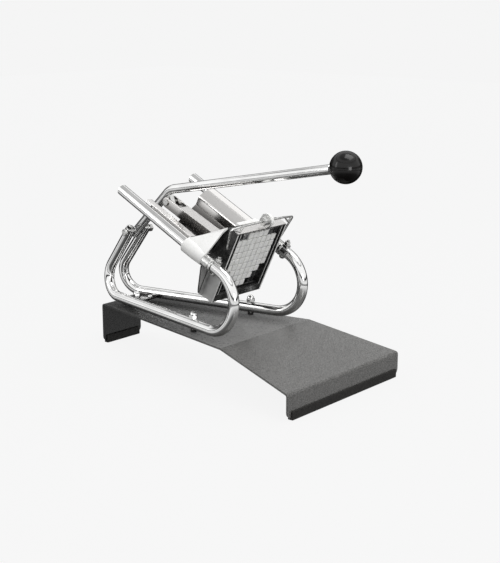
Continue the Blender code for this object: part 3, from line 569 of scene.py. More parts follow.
# %% Corner helpers
def rounded(profile, radius, steps=5):
    """A polyline with each inner corner turned into a small arc: profile points are (a, b) pairs."""
    smooth = [profile[0]]
    for before, corner, after in zip(profile, profile[1:], profile[2:]):
        here = Vector((corner[0], corner[1], 0))
        back = Vector((before[0], before[1], 0)) - here
        ahead = Vector((after[0], after[1], 0)) - here
        half = back.angle(ahead) / 2
        reach = min(radius / math.tan(half), back.length * 0.45, ahead.length * 0.45)
        start, end = here + back.normalized() * reach, here + ahead.normalized() * reach
        for step in range(steps + 1):
            t = step / steps
            point = start * (1 - t) ** 2 + here * 2 * t * (1 - t) + end * t * t
            smooth.append((point.x, point.y))
    smooth.append(profile[-1])
    return smooth


def bend(before, corner, after, radius, steps):
    """Points on the true arc that rounds a corner between two straight runs in space."""
    back = (before - corner).normalized()
    ahead = (after - corner).normalized()
    half = back.angle(ahead) / 2
    centre = corner + (back + ahead).normalized() * (radius / math.sin(half))
    first = corner + back * (radius / math.tan(half)) - centre
    axis = first.cross(corner + ahead * (radius / math.tan(half)) - centre)
    turn = math.pi - 2 * half
    return [centre + Matrix.Rotation(turn * s / steps, 3, axis) @ first for s in range(steps + 1)]


print("corner helpers ready")

# %% [markdown]
# ## Bending a tube
#
# A tube bender feeds a straight tube and turns it bit by bit, and a sweep does the same: a ring of points is
# extruded, then moved and turned to the next station. The turn is the smallest one from the old direction to
# the new, so the ring never twists. An open end is made by drawing the last ring inwards to the bore and then
# back down inside, so that the mesh is still one closed skin.


# %% Sweep helper
def add_sweep(bm, path, radius, sides=40, bore=0.0, rim=0.5, depth=30.0):
    """A round bar or open-ended tube along a path in metres; radius, bore, rim and depth in millimetres."""
    frames = []
    facing = (path[1] - path[0]).normalized()
    turn = facing.to_track_quat("Z", "Y")
    for i, point in enumerate(path):
        ahead = path[min(i + 1, len(path) - 1)] - path[max(i - 1, 0)]
        turn = facing.rotation_difference(ahead) @ turn
        facing = ahead.normalized()
        frames.append((point, turn))
    first, last = frames[0], frames[-1]
    ends = [(depth, bore), (rim, bore), (0, bore + rim), (0, radius - rim)] if bore else [(0, radius - rim)]
    stations = [(first, along, r) for along, r in ends] + [(first, rim, radius)]
    stations += [(station, 0, radius) for station in frames[1:-1]]
    stations += [(last, -along if along else 0, r) for along, r in [(rim, radius)] + list(reversed(ends))]
    ring = None
    for (point, turned), along, r in stations:
        here = Matrix.Translation(point) @ turned.to_matrix().to_4x4() @ Matrix.Translation((0, 0, along * MM))
        if ring is None:
            made = bmesh.ops.create_circle(bm, segments=sides, radius=r * MM, cap_ends=True, matrix=here)
            ring = list({e for v in made["verts"] for e in v.link_edges})
        else:
            verts, ring = extrude_line(bm, ring)
            step = here @ Matrix.Scale(r / last_radius, 4) @ before.inverted()
            bmesh.ops.transform(bm, matrix=step, verts=verts)
        before, last_radius = here, r
    bmesh.ops.contextual_create(bm, geom=ring)


print("sweep helper ready")

# %% [markdown]
# ## The base plate
#
# It starts as one flat blank: narrow at the rear, wide at the front, with rounded corners. A press folds a
# flange down at each end and puts a shallow crease in the deck. Here one edge across the rear flange's foot
# is extruded from station to station along the side view, and scaled to the blank's width at each. Solidify
# gives the skin its 3 mm.

# %% Base plate
BASE_LENGTH = 504
REAR_HALF, FRONT_HALF = 45.5, 143
CREASE_X = 344
DECK_Z, FRONT_Z = 73.2, 41
FOOT_Z = 3
SHEET = 3
FOLD_R = 6
CORNER = 10
side_view = [(0, FOOT_Z), (0, DECK_Z), (CREASE_X, DECK_Z), (BASE_LENGTH, FRONT_Z), (BASE_LENGTH, FOOT_Z)]
side_view = rounded(side_view, FOLD_R, 8)
foot = [(FOOT_Z + CORNER * (1 - math.sin(t)), CORNER * (1 - math.cos(t)))
        for t in (math.radians(90 - 11.25 * s) for s in range(9))]
stations = [(0, z, narrow) for z, narrow in foot] + [(x, z, 0) for x, z in side_view[1:-1]]
stations += [(BASE_LENGTH, z, narrow) for z, narrow in reversed(foot)]
bm = bmesh.new()
row = None
for x, z, narrow in stations:
    half = REAR_HALF + (FRONT_HALF - REAR_HALF) * x / BASE_LENGTH - narrow
    if row is None:
        ends = [bm.verts.new(place(x, side * half, z)) for side in (-1, 1)]
        bmesh.ops.subdivide_edges(bm, edges=[bm.edges.new(ends)], cuts=7)
        row = list(bm.edges)
    else:
        verts, row = extrude_line(bm, row)
        bmesh.ops.translate(bm, vec=place(x, 0, z) - previous, verts=verts)
        bmesh.ops.scale(bm, vec=(1, half / previous_half, 1), verts=verts)
    previous, previous_half = place(x, 0, z), half
agree(bm, True)
bmesh.ops.solidify(bm, geom=bm.faces, thickness=SHEET * MM)
piece("bent_base", bm, powder_coat, "frame", "base_coating", ["base_plate"], bevel=0.7)

# %% [markdown]
# ## Rubber feet
#
# A length of rubber channel is pushed up over each flange's edge. Its section is drawn once as a face and
# extruded across, with the lower outside corners rounded by the bevel.


# %% Rubber feet
def rubber_foot(name, middle, half, node):
    bm = bmesh.new()
    section = [(-4.5, 0), (4.5, 0), (4.5, 14), (1.8, 14), (1.8, 2.7), (-1.8, 2.7), (-1.8, 14), (-4.5, 14)]
    add_prism(bm, [place(middle + x, -half, z) for x, z in section], (0, 2 * half * MM, 0))
    piece(name, bm, rubber, "frame", "foot_rubber", [node], bevel=0.8)


rubber_foot("rear_edge_rubber", SHEET / 2, 39.5, "rear_rubber_foot")
rubber_foot("front_edge_rubber", BASE_LENGTH - SHEET / 2, 135, "front_rubber_foot")

# %% [markdown]
# ## The frame tubes
#
# Each side of the stand is one chromed tube. It starts at the lever's pivot, comes down and back, turns round
# along the deck, and at the front loops up and back into the cutter's boss, leaning outwards as it goes so
# that it lines up with the guide tube.

# %% Frame tubes
RUN_Z = 86.5
TUBE_R = 9
TUBE_BORE = 7.5
REAR_CORNER = (-43.8, 15)
RISER_TOP = (51.5, 19, 212.2)
LOOP_X, LOOP_R, LOOP_Y = 296, 53, 80.5
GUIDE_Y = 85


def run_y(x):
    """Distance of a frame tube from the middle, along the deck."""
    return REAR_CORNER[1] + (LOOP_Y - REAR_CORNER[1]) * (x - REAR_CORNER[0]) / (LOOP_X - REAR_CORNER[0])


def frame_path(side):
    top = place(RISER_TOP[0], side * RISER_TOP[1], RISER_TOP[2])
    corner = place(REAR_CORNER[0], side * REAR_CORNER[1], RUN_Z)
    loop = place(LOOP_X, side * LOOP_Y, RUN_Z)
    path = [top] + bend(top, corner, loop, 35 * MM, 28)
    lean = GUIDE_Y - LOOP_Y
    entry = 0.195 * LOOP_R * (math.pi - SLANT)
    for step in range(41):
        t = step / 40
        angle = -math.pi / 2 + (math.pi - SLANT) * t
        y = LOOP_Y + lean * (3 * t * t - 2 * t ** 3) + entry * t * (1 - t) ** 2
        path.append(place(LOOP_X + LOOP_R * math.cos(angle), side * y, RUN_Z + LOOP_R + LOOP_R * math.sin(angle)))
    path.append(on_slant(-34, side * GUIDE_Y, 0))
    return path


for side, label in SIDES:
    bm = bmesh.new()
    add_sweep(bm, frame_path(side), TUBE_R, 40, TUBE_BORE)
    piece("stand_tube_" + label, bm, chrome, "frame", "chrome", ["frame_tube_" + label])

# %% [markdown]
# ## The guide tubes and their plugs
#
# Two straight tubes guide the block and carry the trough. A black plug closes each rear end.

# %% Guide tubes
GUIDE_REAR = -233
for side, label in SIDES:
    bm = bmesh.new()
    add_sweep(bm, [on_slant(u, side * GUIDE_Y, 0) for u in (GUIDE_REAR, -100, -36)], TUBE_R, 40, TUBE_BORE)
    piece("slide_tube_" + label, bm, chrome, "frame", "chrome", ["guide_tube_" + label])
    bm = bmesh.new()
    plug = [(0, 0), (0.2, 4), (0.9, 6.6), (1.6, 7.2), (15, 7.2), (15, 0)]
    add_turned(bm, plug, on_slant(GUIDE_REAR - 1, side * GUIDE_Y, 0), DOWN_SLOPE, 24)
    piece("slide_plug_" + label, bm, rubber, "frame", "foot_rubber", ["guide_plug_" + label])

# %% [markdown]
# ## Nuts, bolts and spacers
#
# All of them are turned shapes or six-sided ones. A dome nut is a hexagon whose upper corners are turned off,
# with a polished dome on it: the hexagon is spun in six steps and the dome in thirty-two.


# %% Fastener helpers
def bolt_piece(name, bm, node, **more):
    piece(name, bm, zinc, "frame", "bolt_zinc", [node], **more)


def dome_nut(name, at, along, node, body="frame"):
    bm = bmesh.new()
    add_turned(bm, [(0, 3.2), (0, 6.9), (0.4, 7.4), (5.2, 7.4), (5.8, 6.6), (5.8, 3.2)], at, along, 6)
    dome = [(5.6, 5.4), (6.3, 6.0)]
    dome += [(6.3 + 5.7 * math.sin(t), 6.0 * math.cos(t)) for t in (math.radians(12 * s) for s in range(1, 8))]
    add_turned(bm, [(5.6, 0)] + dome + [(12, 0)], at, along, 32)
    piece(name, bm, chrome, body, "chrome", [node], sharp=25)


def washer(bm, at, along, inner, outer, thick, cut=0.3, steps=32):
    """A chamfered ring."""
    lower = [(0, inner), (0, outer - cut), (cut, outer)]
    add_turned(bm, lower + [(thick - distance, radius) for distance, radius in reversed(lower)], at, along, steps)


def hex_nut(bm, at, along, inner, outer, thick):
    washer(bm, at, along, inner, outer, thick, 0.5, 6)


def round_bolt(bm, at, along, head_r, head, shank_r, length):
    """A low domed head and its shank with a chamfered tip."""
    profile = [(0, 0), (0.1, head_r * 0.4), (0.5, head_r * 0.75), (head * 0.5, head_r * 0.96), (head * 0.8, head_r)]
    profile += [(head, head_r), (head, shank_r), (head + length - 0.7, shank_r), (head + length, shank_r - 0.6)]
    add_turned(bm, profile + [(head + length, 0)], at, along, 28)


GAP = 0.3  # left clear between a fastener and what it meets
HEAD = 4
BOLT_X = 248
for side, label in SIDES:
    y = side * run_y(BOLT_X)
    dome_nut("deck_dome_nut_" + label, place(BOLT_X, y, RUN_Z + TUBE_R + GAP), UP, "dome_nut_" + label)
    bm = bmesh.new()
    add_turned(bm, [(0, 3.4), (0, 5), (3.7, 5), (3.7, 3.4)], place(BOLT_X, y, DECK_Z + GAP), UP, 32)
    # The spacers get the black rubber as painted shade under the tubes.
    piece("deck_spacer_" + label, bm, rubber, "frame", "bolt_zinc", ["tube_spacer_" + label], bevel=0.3)
    bm = bmesh.new()
    start = DECK_Z - SHEET - GAP - HEAD
    round_bolt(bm, place(BOLT_X, y, start), UP, 7, HEAD, 3, RUN_Z + TUBE_R + 5 - start - HEAD)
    bolt_piece("deck_bolt_" + label, bm, "base_bolt_" + label)

# %% [markdown]
# ## The tie plate
#
# A short strip of stainless steel holds the two tubes at their set distance near the rear. Its sides follow
# the tubes, so it is a little wider at the front.

# %% Tie plate and its fasteners
TIE_X, TIE_Z, TIE_THICK = 41, 79, 3.2
bm = bmesh.new()
add_box(bm, (20, -1, TIE_Z), (63, 1, TIE_Z + TIE_THICK))
bmesh.ops.translate(bm, vec=(REAR_X, 0, 0), verts=bm.verts)
clear = math.sqrt(TUBE_R ** 2 - (RUN_Z - TIE_Z - 1.6) ** 2) + 1.6
for vert in bm.verts:
    side = 1 if vert.co.y > 0 else -1
    vert.co.y = side * (run_y((vert.co.x - REAR_X) / MM) - clear) * MM
piece("tie_strip", bm, sheet_steel, "frame", "stainless_sheet", ["rear_tie_plate"], bevel=0.5)
dome_nut("tie_cap_nut", place(TIE_X, 0, TIE_Z + 3.5), UP, "tie_dome_nut")
bm = bmesh.new()
add_turned(bm, [(0, 3.4), (0, 9), (5.2, 9), (5.2, 3.4)], place(TIE_X, 0, DECK_Z + GAP), UP, 32)
bolt_piece("tie_collar", bm, "tie_spacer", bevel=0.3)
bm = bmesh.new()
start = DECK_Z - SHEET - GAP - HEAD
round_bolt(bm, place(TIE_X, 0, start), UP, 7, HEAD, 3, TIE_Z + TIE_THICK + 5 - start - HEAD)
bolt_piece("tie_deck_bolt", bm, "tie_bolt")
for side, label in SIDES:
    bm = bmesh.new()
    round_bolt(bm, place(56, side * 19, TIE_Z + 6.5), -UP, 4.5, 3, 2, TIE_Z + TIE_THICK - DECK_Z - GAP)
    piece("tie_pan_screw_" + label, bm, chrome, "frame", "chrome", ["tie_screw_" + label])

# %% [markdown]
# ## The trough
#
# One stainless sheet folded to a V with a flat floor, so that a potato lies still on its own. Its upper
# edges fold out into flanges that hang over the guide tubes. The section is a polyline with its folds
# rounded, extruded once down the slope; Solidify makes it sheet.

# %% Trough
TROUGH_REAR = -181
half_section = [(80, 11), (67, 9.5), (53, -2), (53, -18), (13, -58)]
section = rounded(half_section + [(-y, v) for y, v in reversed(half_section)], 5, 6)
bm = bmesh.new()
line = [bm.verts.new((TROUGH_REAR * MM, y * MM, v * MM)) for y, v in section]
edges = [bm.edges.new(pair) for pair in zip(line, line[1:])]
previous = TROUGH_REAR
for u in (-120, -70.8, -44):
    verts, edges = extrude_line(bm, edges)
    bmesh.ops.translate(bm, vec=((u - previous) * MM, 0, 0), verts=verts)
    previous = u
middles = [(f, f.calc_center_median()) for f in bm.faces]
inside_boss = [f for f, middle in middles if middle.x > -70 * MM and abs(middle.y) > 51 * MM]
bmesh.ops.delete(bm, geom=inside_boss, context="FACES")
agree(bm, False)
bmesh.ops.solidify(bm, geom=bm.faces, thickness=1.5 * MM)
piece("v_trough", bm, sheet_steel, "frame", "stainless_sheet", ["potato_trough"], bevel=0.3, slanted=True,
      segments=2)

# %% [markdown]
# ## The cutter housing
#
# The housing is one casting. It is easier to shape, and to bevel, as the parts a pattern maker would glue up:
# two side cheeks with rails for the cartridge, a sole, a cross bar, two bosses that clamp the tubes, and two
# hollow wings that flare to the front. Each overlaps its neighbour a little, as fillets do in a casting.


# %% Housing cheeks, sole and bar
def housing_piece(name, bm, material, bevel, *more):
    """A slanted piece of the housing; more lists the finishes of its other material slots."""
    made = piece(name, bm, material, "frame", "housing_paint", ["cutter_housing"], bevel=bevel, slanted=True)
    for extra in more:
        made.data.materials.append(extra)


for side, label in SIDES:
    bm = bmesh.new()
    add_plate(bm, [(0, -10), (0, 57), (-24, 56), (-60, 20), (-66, -10)], side * 57.2, side * 60)
    lower = [(0, -74), (0, -9), (-65.7, -9), (-66, -12), (-45, -32), (-31, -76), (-20, -76)]
    add_plate(bm, lower, side * 57.1, side * 60.1)
    add_plate(bm, [(-2.6, -64), (-2.6, 57), (-4.9, 57), (-4.9, -64)], side * 50, side * 57.4)
    add_plate(bm, [(-0.6, -64), (-0.6, 57), (-4.9, 57), (-4.9, -64)], side * 50, side * 51.2)
    rear_rail = [(-17.7, -64), (-17.7, 56), (-24, 56), (-60, 20), (-66, -12), (-45, -32), (-33, -64)]
    add_plate(bm, rear_rail, side * 54, side * 57.4)
    face_outwards(bm)
    # Front rim faces keep the enamel; the lower outer side gets the darker copy of the enamel as painted shade, and
    # every other face the dark colour of painted shade.
    for face in bm.faces:
        middle = face.calc_center_median()
        rim = face.normal.x > 0.6 and middle.x > -1 * MM
        outside = face.normal.y * side > 0.5 and abs(middle.y) > 58 * MM and middle.z < -9 * MM
        face.material_index = 0 if rim else 2 if outside else 1
    housing_piece("housing_cheek_" + label, bm, enamel, 0.5, shade_coat, shaded_enamel)
bm = bmesh.new()
sole = [(0, -74), (0, -60.2), (-4.9, -60.2), (-4.9, -65), (-17.7, -65), (-17.7, -60.2), (-36, -60.2), (-31, -76),
        (-20, -76)]
add_plate(bm, sole, -57, 57)
add_box(bm, (-24, -57, 53.2), (-18.4, 57, 56))
# The sole gets the dark colour of painted shade.
housing_piece("housing_sole", bm, shade_coat, 0.8)

# %% [markdown]
# A boss is a turned sleeve round the tubes. In front of it comes a shorter plated sleeve, with a flat seat for
# the clamp's nut.

# %% Housing bosses and sleeves
CLAMP_TOP = 12.5
for side, label in SIDES:
    y = side * GUIDE_Y
    axis_at = SIDEWAYS * y * MM
    bm = bmesh.new()
    boss = [(-69, 9.3), (-69, 12.6), (-68, 13.6), (-45, 13.2), (-26, 11.8), (-24.5, 11.2), (-24, 9.3)]
    add_turned(bm, boss, axis_at, FORWARD, 48)
    housing_piece("housing_boss_" + label, bm, enamel, 0.0)
    bm = bmesh.new()
    sleeve = [(-24, 9.2), (-24, 11.3), (-9.5, 11.3), (-9.2, 10.2), (-8.2, 10.2), (-7.9, 11.3), (-4.6, 11.3),
              (-4, 10.8), (-4, 9.2)]
    add_turned(bm, sleeve, axis_at, FORWARD, 48)
    add_box(bm, (-5, y - 5.5, 8.6), (5, y + 5.5, CLAMP_TOP))
    housing_piece("clamp_sleeve_" + label, bm, zinc, 0.4)

# %% [markdown]
# Each wing is a skin stretched from the rear rim to the wider front rim, down to where it meets the boss. One
# edge line is extruded, its far end is moved to the front rim, and the fold along the top is bevelled round.
# Solidify adds the thickness inwards, and the faces that look inwards get the dark colour of painted shade.

# %% Housing wings
for side, label in SIDES:
    bm = bmesh.new()
    rim_rear = [(-60, 59, 20.5), (-60, 70, 20), (-69, 90, 12.5), (-69, 98, 2)]
    rim_front = [(-24, 59, 56.5), (-24, 64.5, 55.5), (-24, 92.5, 6), (-24, 96, -1)]
    line = [bm.verts.new(Vector((u, side * y, v)) * MM) for u, y, v in rim_rear]
    edges = [bm.edges.new(pair) for pair in zip(line, line[1:])]
    verts = sorted(extrude_line(bm, edges)[0], key=lambda v: abs(v.co.y))
    for vert, target in zip(verts, rim_front):
        vert.co = Vector((target[0], side * target[1], target[2])) * MM
    folds = [e for e in bm.edges if len(e.link_faces) == 2]
    bmesh.ops.bevel(bm, geom=folds, offset=6 * MM, segments=6, profile=0.5, affect="EDGES", material=-1)
    agree(bm, True)
    bmesh.ops.solidify(bm, geom=bm.faces, thickness=2.6 * MM)
    bm.normal_update()
    for face in bm.faces:
        if face.normal.z < -0.1 and abs(face.normal.x) < 0.75:
            face.material_index = 1
    housing_piece("housing_wing_" + label, bm, enamel, 0.7, shade_coat)

# %% [markdown]
# Inside each wing four ribs stiffen the skin, and a web closes it at the rear. Below the boss a flat flange
# faces the front, and tapers in towards the sole; it is cut from one outline.

# %% Housing ribs and front flanges
for side, label in SIDES:
    bm = bmesh.new()
    for u in (-56, -46, -36, -27):
        rise = u + 80
        rib = [(u, 9), (u, rise - 5), (u - 1.6, rise - 6), (u - 1.6, 9)]
        add_plate(bm, rib, side * 59.5, side * (64 + 0.1 * (u + 60)))
    web = [Vector((-60, side * y, v)) * MM for y, v in ((60, 18), (68, 18), (86, 11), (86, -12), (60, -12))]
    add_prism(bm, web, (-2 * MM, 0, 0))
    # The ribs and the web get the dark colour of painted shade.
    housing_piece("housing_ribs_" + label, bm, shade_coat, 0.4)
    bm = bmesh.new()
    flange = [(60, -7), (88, -7), (87, -16), (72.5, -62), (69, -70), (62, -75), (60, -75)]
    add_prism(bm, [Vector((-27, side * y, v)) * MM for y, v in flange], (3 * MM, 0, 0))
    add_plate(bm, [(-26, -70), (-22, -68), (-22, -12), (-26, -12)], side * 68.6, side * 70)
    face_outwards(bm)
    # Front faces get the darker copy of the enamel as painted shade, the rest the dark colour of painted shade.
    for face in bm.faces:
        face.material_index = 0 if abs(face.normal.x) > 0.5 else 1
    housing_piece("housing_flange_" + label, bm, shaded_enamel, 0.8, shade_coat)

# %% [markdown]
# ## Clamp bolts
#
# A bolt goes through each boss and the tube's end inside it, square to the guides, with a nut on a flat seat.

# %% Clamp bolts
for side, label in SIDES:
    bm = bmesh.new()
    base = Vector((0, side * GUIDE_Y, -14.2)) * MM
    round_bolt(bm, base, UP, 5, 3.5, 2.5, CLAMP_TOP + 9 + 10.7)
    bolt_piece("boss_bolt_" + label, bm, "clamp_bolt_" + label, slanted=True)
    bm = bmesh.new()
    at = Vector((0, side * GUIDE_Y, CLAMP_TOP + GAP)) * MM
    hex_nut(bm, at, UP, 3.1, 5.2, 5)
    bolt_piece("boss_nut_" + label, bm, "clamp_nut_" + label, slanted=True)

# %% [markdown]
# ## The blade cartridge
#
# The blades sit in a cartridge that slides between the housing's rails. Its frame has a window eight chips
# wide and nine high, so four bars, two upright and two level, are the simplest way to make it.

# %% Cartridge frame
PITCH = 12
COLUMNS, ROWS = 8, 9
HALF = COLUMNS * PITCH / 2
LOW = -56
TOP = LOW + ROWS * PITCH
REAR_FACE, FRONT_FACE = -17, -5.4
FRAME_HALF, FRAME_FOOT, FRAME_TOP = 56.2, -64.5, 57.2
bm = bmesh.new()
add_box(bm, (REAR_FACE, -FRAME_HALF, FRAME_FOOT), (FRONT_FACE, -HALF, FRAME_TOP))
add_box(bm, (REAR_FACE, HALF, FRAME_FOOT), (FRONT_FACE, FRAME_HALF, FRAME_TOP))
add_box(bm, (REAR_FACE, -HALF - 1, FRAME_FOOT), (FRONT_FACE, HALF + 1, LOW))
add_box(bm, (REAR_FACE, -HALF - 1, TOP), (FRONT_FACE, HALF + 1, FRAME_TOP))
# The frame gets the dark steel that is painted shade.
piece("cartridge_frame", bm, shadow_steel, "frame", "blade_steel", ["grid_frame"], bevel=0.4, slanted=True)

# %% [markdown]
# A bright strip lies over the cartridge's top and reaches forward to the housing's face.

# %% Cartridge lid
bm = bmesh.new()
add_box(bm, (REAR_FACE, -58, 57), (0, 58, 59.6))
piece("cartridge_lid", bm, sheet_steel, "frame", "blade_steel", ["grid_frame"], bevel=0.4, slanted=True)

# %% [markdown]
# Two sets of thin blades cross in the window. Real blades may be slotted halfway into each other; here they
# simply pass through each other.

# %% Blades
BLADE_HALF = 0.35
bm = bmesh.new()
for i in range(1, COLUMNS):
    y = -HALF + i * PITCH
    add_box(bm, (-11.4, y - BLADE_HALF, LOW - 1), (-5.6, y + BLADE_HALF, TOP + 0.5))
piece("upright_blade_set", bm, blade_steel, "frame", "blade_steel", ["upright_blades"], slanted=True)
bm = bmesh.new()
for j in range(1, ROWS):
    v = LOW + j * PITCH
    add_box(bm, (-15.9, -HALF - 1, v - BLADE_HALF), (-5.9, HALF + 1, v + BLADE_HALF))
piece("level_blade_set", bm, blade_steel, "frame", "blade_steel", ["level_blades"], slanted=True)

# %% [markdown]
# ## The pusher
#
# A moulded block with one stud for each hole that it fills. Its outline steps in towards the bottom to follow
# the V. Each stud is a bevelled box on the block's plate, and the block rides on a stainless bracket.

# %% Pusher block
STUD = 10.4
MARGIN = 0.8  # from a blade's middle to the stud beside it
STUDS_PER_ROW = (2, 4, 6, 8, 8, 8, 8, 8, 4)
bm = bmesh.new()
for j, count in enumerate(STUDS_PER_ROW):
    v = LOW + j * PITCH
    reach = count * PITCH / 2
    add_box(bm, (-36, -reach, v), (-19, reach, v + PITCH + (0.1 if j < ROWS - 1 else 0)))
    for i in range(count):
        y = -reach + i * PITCH
        add_box(bm, (-19.5, y + MARGIN, v + MARGIN), (-3.5, y + MARGIN + STUD, v + MARGIN + STUD))
piece("studded_block", bm, plastic, "pusher", "pusher_plastic", ["pusher_block"], bevel=0.7, slanted=True,
      segments=2)

# %% [markdown]
# The bracket is a thick plate behind the block, drawn from the side. The same pin, with a rounded head at
# each end, serves here and at the lever.

# %% Pusher bracket and pin
PIN_U, PIN_V = -62, -8
bracket = [(-36.3, -40), (-36.3, 24), (-40, 24), (PIN_U + 4, 2), (PIN_U - 6, 0), (PIN_U - 10, PIN_V),
           (PIN_U - 6, -16), (-40, -40)]
bm = bmesh.new()
add_plate(bm, bracket, -6, 6)
piece("block_bracket", bm, sheet_steel, "pusher", "stainless_sheet", ["pusher_bracket"], bevel=1.2, slanted=True)


def clevis_pin(name, at, body, node, slanted):
    bm = bmesh.new()
    half = 13.3
    head = [(0, 0), (0, 4.6), (0.5, 5.4), (1.6, 5.5), (2, 5.2), (2, 3.5)]
    profile = head + [(2 * half - distance, radius) for distance, radius in reversed(head)]
    add_turned(bm, profile, at - SIDEWAYS * half * MM, SIDEWAYS, 28)
    piece(name, bm, zinc, body, "bolt_zinc", [node], slanted=slanted)


clevis_pin("block_pin", Vector((PIN_U, 0, PIN_V)) * MM, "pusher", "pusher_pin", True)

# %% [markdown]
# ## The lever
#
# A chromed bar with one bend. Its lower end sits between the two risers on the pivot bolt, a lug under the
# bend carries the link, and the black ball is screwed on to a stud in its far end.

# %% Lever bar, lug and pins
LEVER_R = 7.8
pivot = place(46, 0, 205)
elbow = place(129.7, 0, 286.2)
lever_end = place(470, 0, 353)
foot_end = pivot + (pivot - elbow).normalized() * 12 * MM
bm = bmesh.new()
path = [foot_end] + bend(foot_end, elbow, lever_end, 34 * MM, 20) + [lever_end]
add_sweep(bm, path, LEVER_R, 40, rim=1.0)
piece("lever_bar", bm, chrome, "lever", "chrome", ["lever_tube"])
link_at = place(130, 0, 265)
bm = bmesh.new()
arm = (elbow - pivot).normalized()
nearest = pivot + arm * (link_at - pivot).dot(arm)
corners = [link_at + Vector((math.cos(t), 0, math.sin(t))) * 9 * MM
           for t in (math.radians(154 + 15 * s) for s in range(13))]
corners += [nearest + arm * 14 * MM, nearest - arm * 14 * MM]
for point in corners:
    bm.verts.new(Vector((point.x, -4.5 * MM, point.z)))
    bm.verts.new(Vector((point.x, 4.5 * MM, point.z)))
bmesh.ops.convex_hull(bm, input=bm.verts)
piece("lever_lug", bm, zinc, "lever", "chrome", ["lever_tube"], bevel=0.8)
clevis_pin("lever_link_pin", link_at, "lever", "link_pin", False)

# %% [markdown]
# The ball is one turned profile: a hole for the stud, a flat where it meets the lever, then the sphere.

# %% Ball knob
BALL_R, FLAT_R = 25, 17
ball_at = place(496, 0, 358)
ball_axis = (ball_at - lever_end).normalized()
rear = -math.sqrt(BALL_R ** 2 - FLAT_R ** 2)
first = math.atan2(FLAT_R, rear)
profile = [(rear + 20, 0), (rear + 20, 5.3), (rear + 0.6, 5.3), (rear, 6.0), (rear, 16.3)]
profile += [(BALL_R * math.cos(t), BALL_R * math.sin(t)) for t in (first * (1 - s / 40) for s in range(1, 40))]
bm = bmesh.new()
add_turned(bm, profile + [(BALL_R, 0)], ball_at, ball_axis, 64)
piece("ball_grip", bm, phenolic, "lever", "ball_phenolic", ["ball_knob"])
bm = bmesh.new()
stud_at = lever_end + ball_axis * GAP * MM
length = (ball_at + ball_axis * (rear + 19.5) * MM - stud_at).length / MM
add_turned(bm, [(0, 0), (0, 5), (length, 5), (length, 0)], stud_at, ball_axis, 28)
piece("grip_stud", bm, zinc, "lever", "bolt_zinc", ["knob_stud"], bevel=0.3)

# %% [markdown]
# One bolt crosses both risers and the lever. A washer on each side keeps the lever off the risers.

# %% Pivot bolt, nut and washers
bm = bmesh.new()
round_bolt(bm, pivot - SIDEWAYS * 32.1 * MM, SIDEWAYS, 6.5, 3.5, 4, 62.2)
bolt_piece("pivot_cross_bolt", bm, "pivot_bolt")
bm = bmesh.new()
hex_nut(bm, pivot + SIDEWAYS * 28.6 * MM, SIDEWAYS, 4.73, 7, 6)
bolt_piece("pivot_lock_nut", bm, "pivot_nut")
for side, label in SIDES:
    bm = bmesh.new()
    washer(bm, pivot + SIDEWAYS * side * 8.1 * MM, SIDEWAYS * side, 4.3, 7, 1.3)
    bolt_piece("pivot_shim_" + label, bm, "pivot_washer_" + label)

# %% [markdown]
# ## The link
#
# A pressed channel: two flat sides and a top. Its rear ears take the lever's pin. Its front ears are tall,
# since the link rises a little on the block's pin while the lever swings. The solid model has a slot and a
# hole for the pins; the sides drawn here leave them closed.

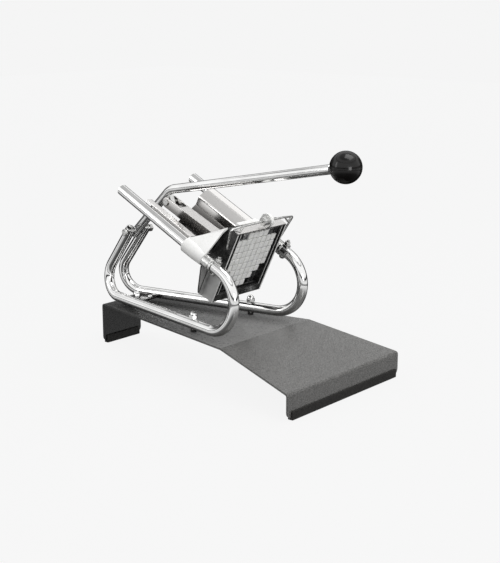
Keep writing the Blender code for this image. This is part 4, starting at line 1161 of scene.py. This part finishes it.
# %% Link
from_cutter = link_at - on_slant(0, 0, 0)
LINK_U = from_cutter.dot(DOWN_SLOPE) / MM
LINK_V = from_cutter.dot(SLANTED.to_3x3() @ UP) / MM
LINK_IN, LINK_OUT = 8.4, 10.9
SLOT_V = PIN_V - 6.2
nose = PIN_U + 9
ear = [(LINK_U + 9 * math.cos(t), LINK_V + 9 * math.sin(t)) for t in (math.radians(90 + 12 * s) for s in range(16))]
side_outline = ear + [(LINK_U + 26, LINK_V - 8), (PIN_U - 22, SLOT_V - 8), (PIN_U - 10, SLOT_V - 14),
                      (nose, SLOT_V - 14), (nose, SLOT_V + 14), (PIN_U - 12, SLOT_V + 14), (LINK_U + 30, LINK_V + 9)]
bm = bmesh.new()
add_plate(bm, side_outline, LINK_IN, LINK_OUT)
add_plate(bm, side_outline, -LINK_OUT, -LINK_IN)
top_strip = [(LINK_U + 30, LINK_V + 9), (LINK_U + 30, LINK_V + 6.4), (PIN_U - 14, SLOT_V + 11),
             (PIN_U - 12, SLOT_V + 14)]
add_plate(bm, top_strip, -8.6, 8.6)
piece("channel_link", bm, sheet_steel, "link", "stainless_sheet", ["link_arm"], bevel=0.5, slanted=True)
print("link pin at u", round(LINK_U, 1), "v", round(LINK_V, 1))

# %% [markdown]
# ## The bail
#
# A bent wire swings over the cartridge's top on two small holes in the cheeks, most likely to hold it down. A
# bent piece of the same wire stands at each corner. A roller, half plastic and half zinc-plated hub, turns on
# the top bar. Its purpose isn't known.

# %% Bail wire and roller
WIRE_R = 1.75
half = [Vector(p) * MM for p in ((-6, 57.6, 28), (-6, 66, 28), (-5, 76, 67), (-3, 48, 71.5), (-1.5, 15, 73.5))]
whole = [Vector((p.x, -p.y, p.z)) for p in half] + list(reversed(half))
path = [whole[0]]
for before, corner, after in zip(whole, whole[1:], whole[2:]):
    if (corner - before).angle(after - corner) > math.radians(25):
        path += bend(before, corner, after, 3.2 * MM, 8)
    else:
        path.append(corner)
path.append(whole[-1])
bm = bmesh.new()
add_sweep(bm, path, WIRE_R, 20, rim=0.3)
for side in (-1, 1):
    add_sweep(bm, [Vector(p) * MM for p in ((-3.2, side * 50, 71.3), (0, side * 59, 63.6), (-4.8, side * 73.5, 67.4))],
              WIRE_R * 0.97, 20, rim=0.3)
piece("bail_loop", bm, zinc, "bail", "chrome", ["bail_wire"], slanted=True)
bm = bmesh.new()
roller = [(0, 2.05), (0, 6.2), (0.6, 7), (7.6, 7), (8, 7.4), (8, 10.5), (9, 11.5), (15, 11.5), (16, 10.5), (16, 2.05)]
add_turned(bm, roller, Vector((-1.5, -8, 73.5)) * MM, SIDEWAYS, 48)
for face in bm.faces:
    face.material_index = 1 if face.calc_center_median().y < 0.5 * MM else 0
wheel = piece("bail_wheel", bm, plastic, "roller", "pusher_plastic", ["bail_roller"], slanted=True)
wheel.data.materials.append(zinc)
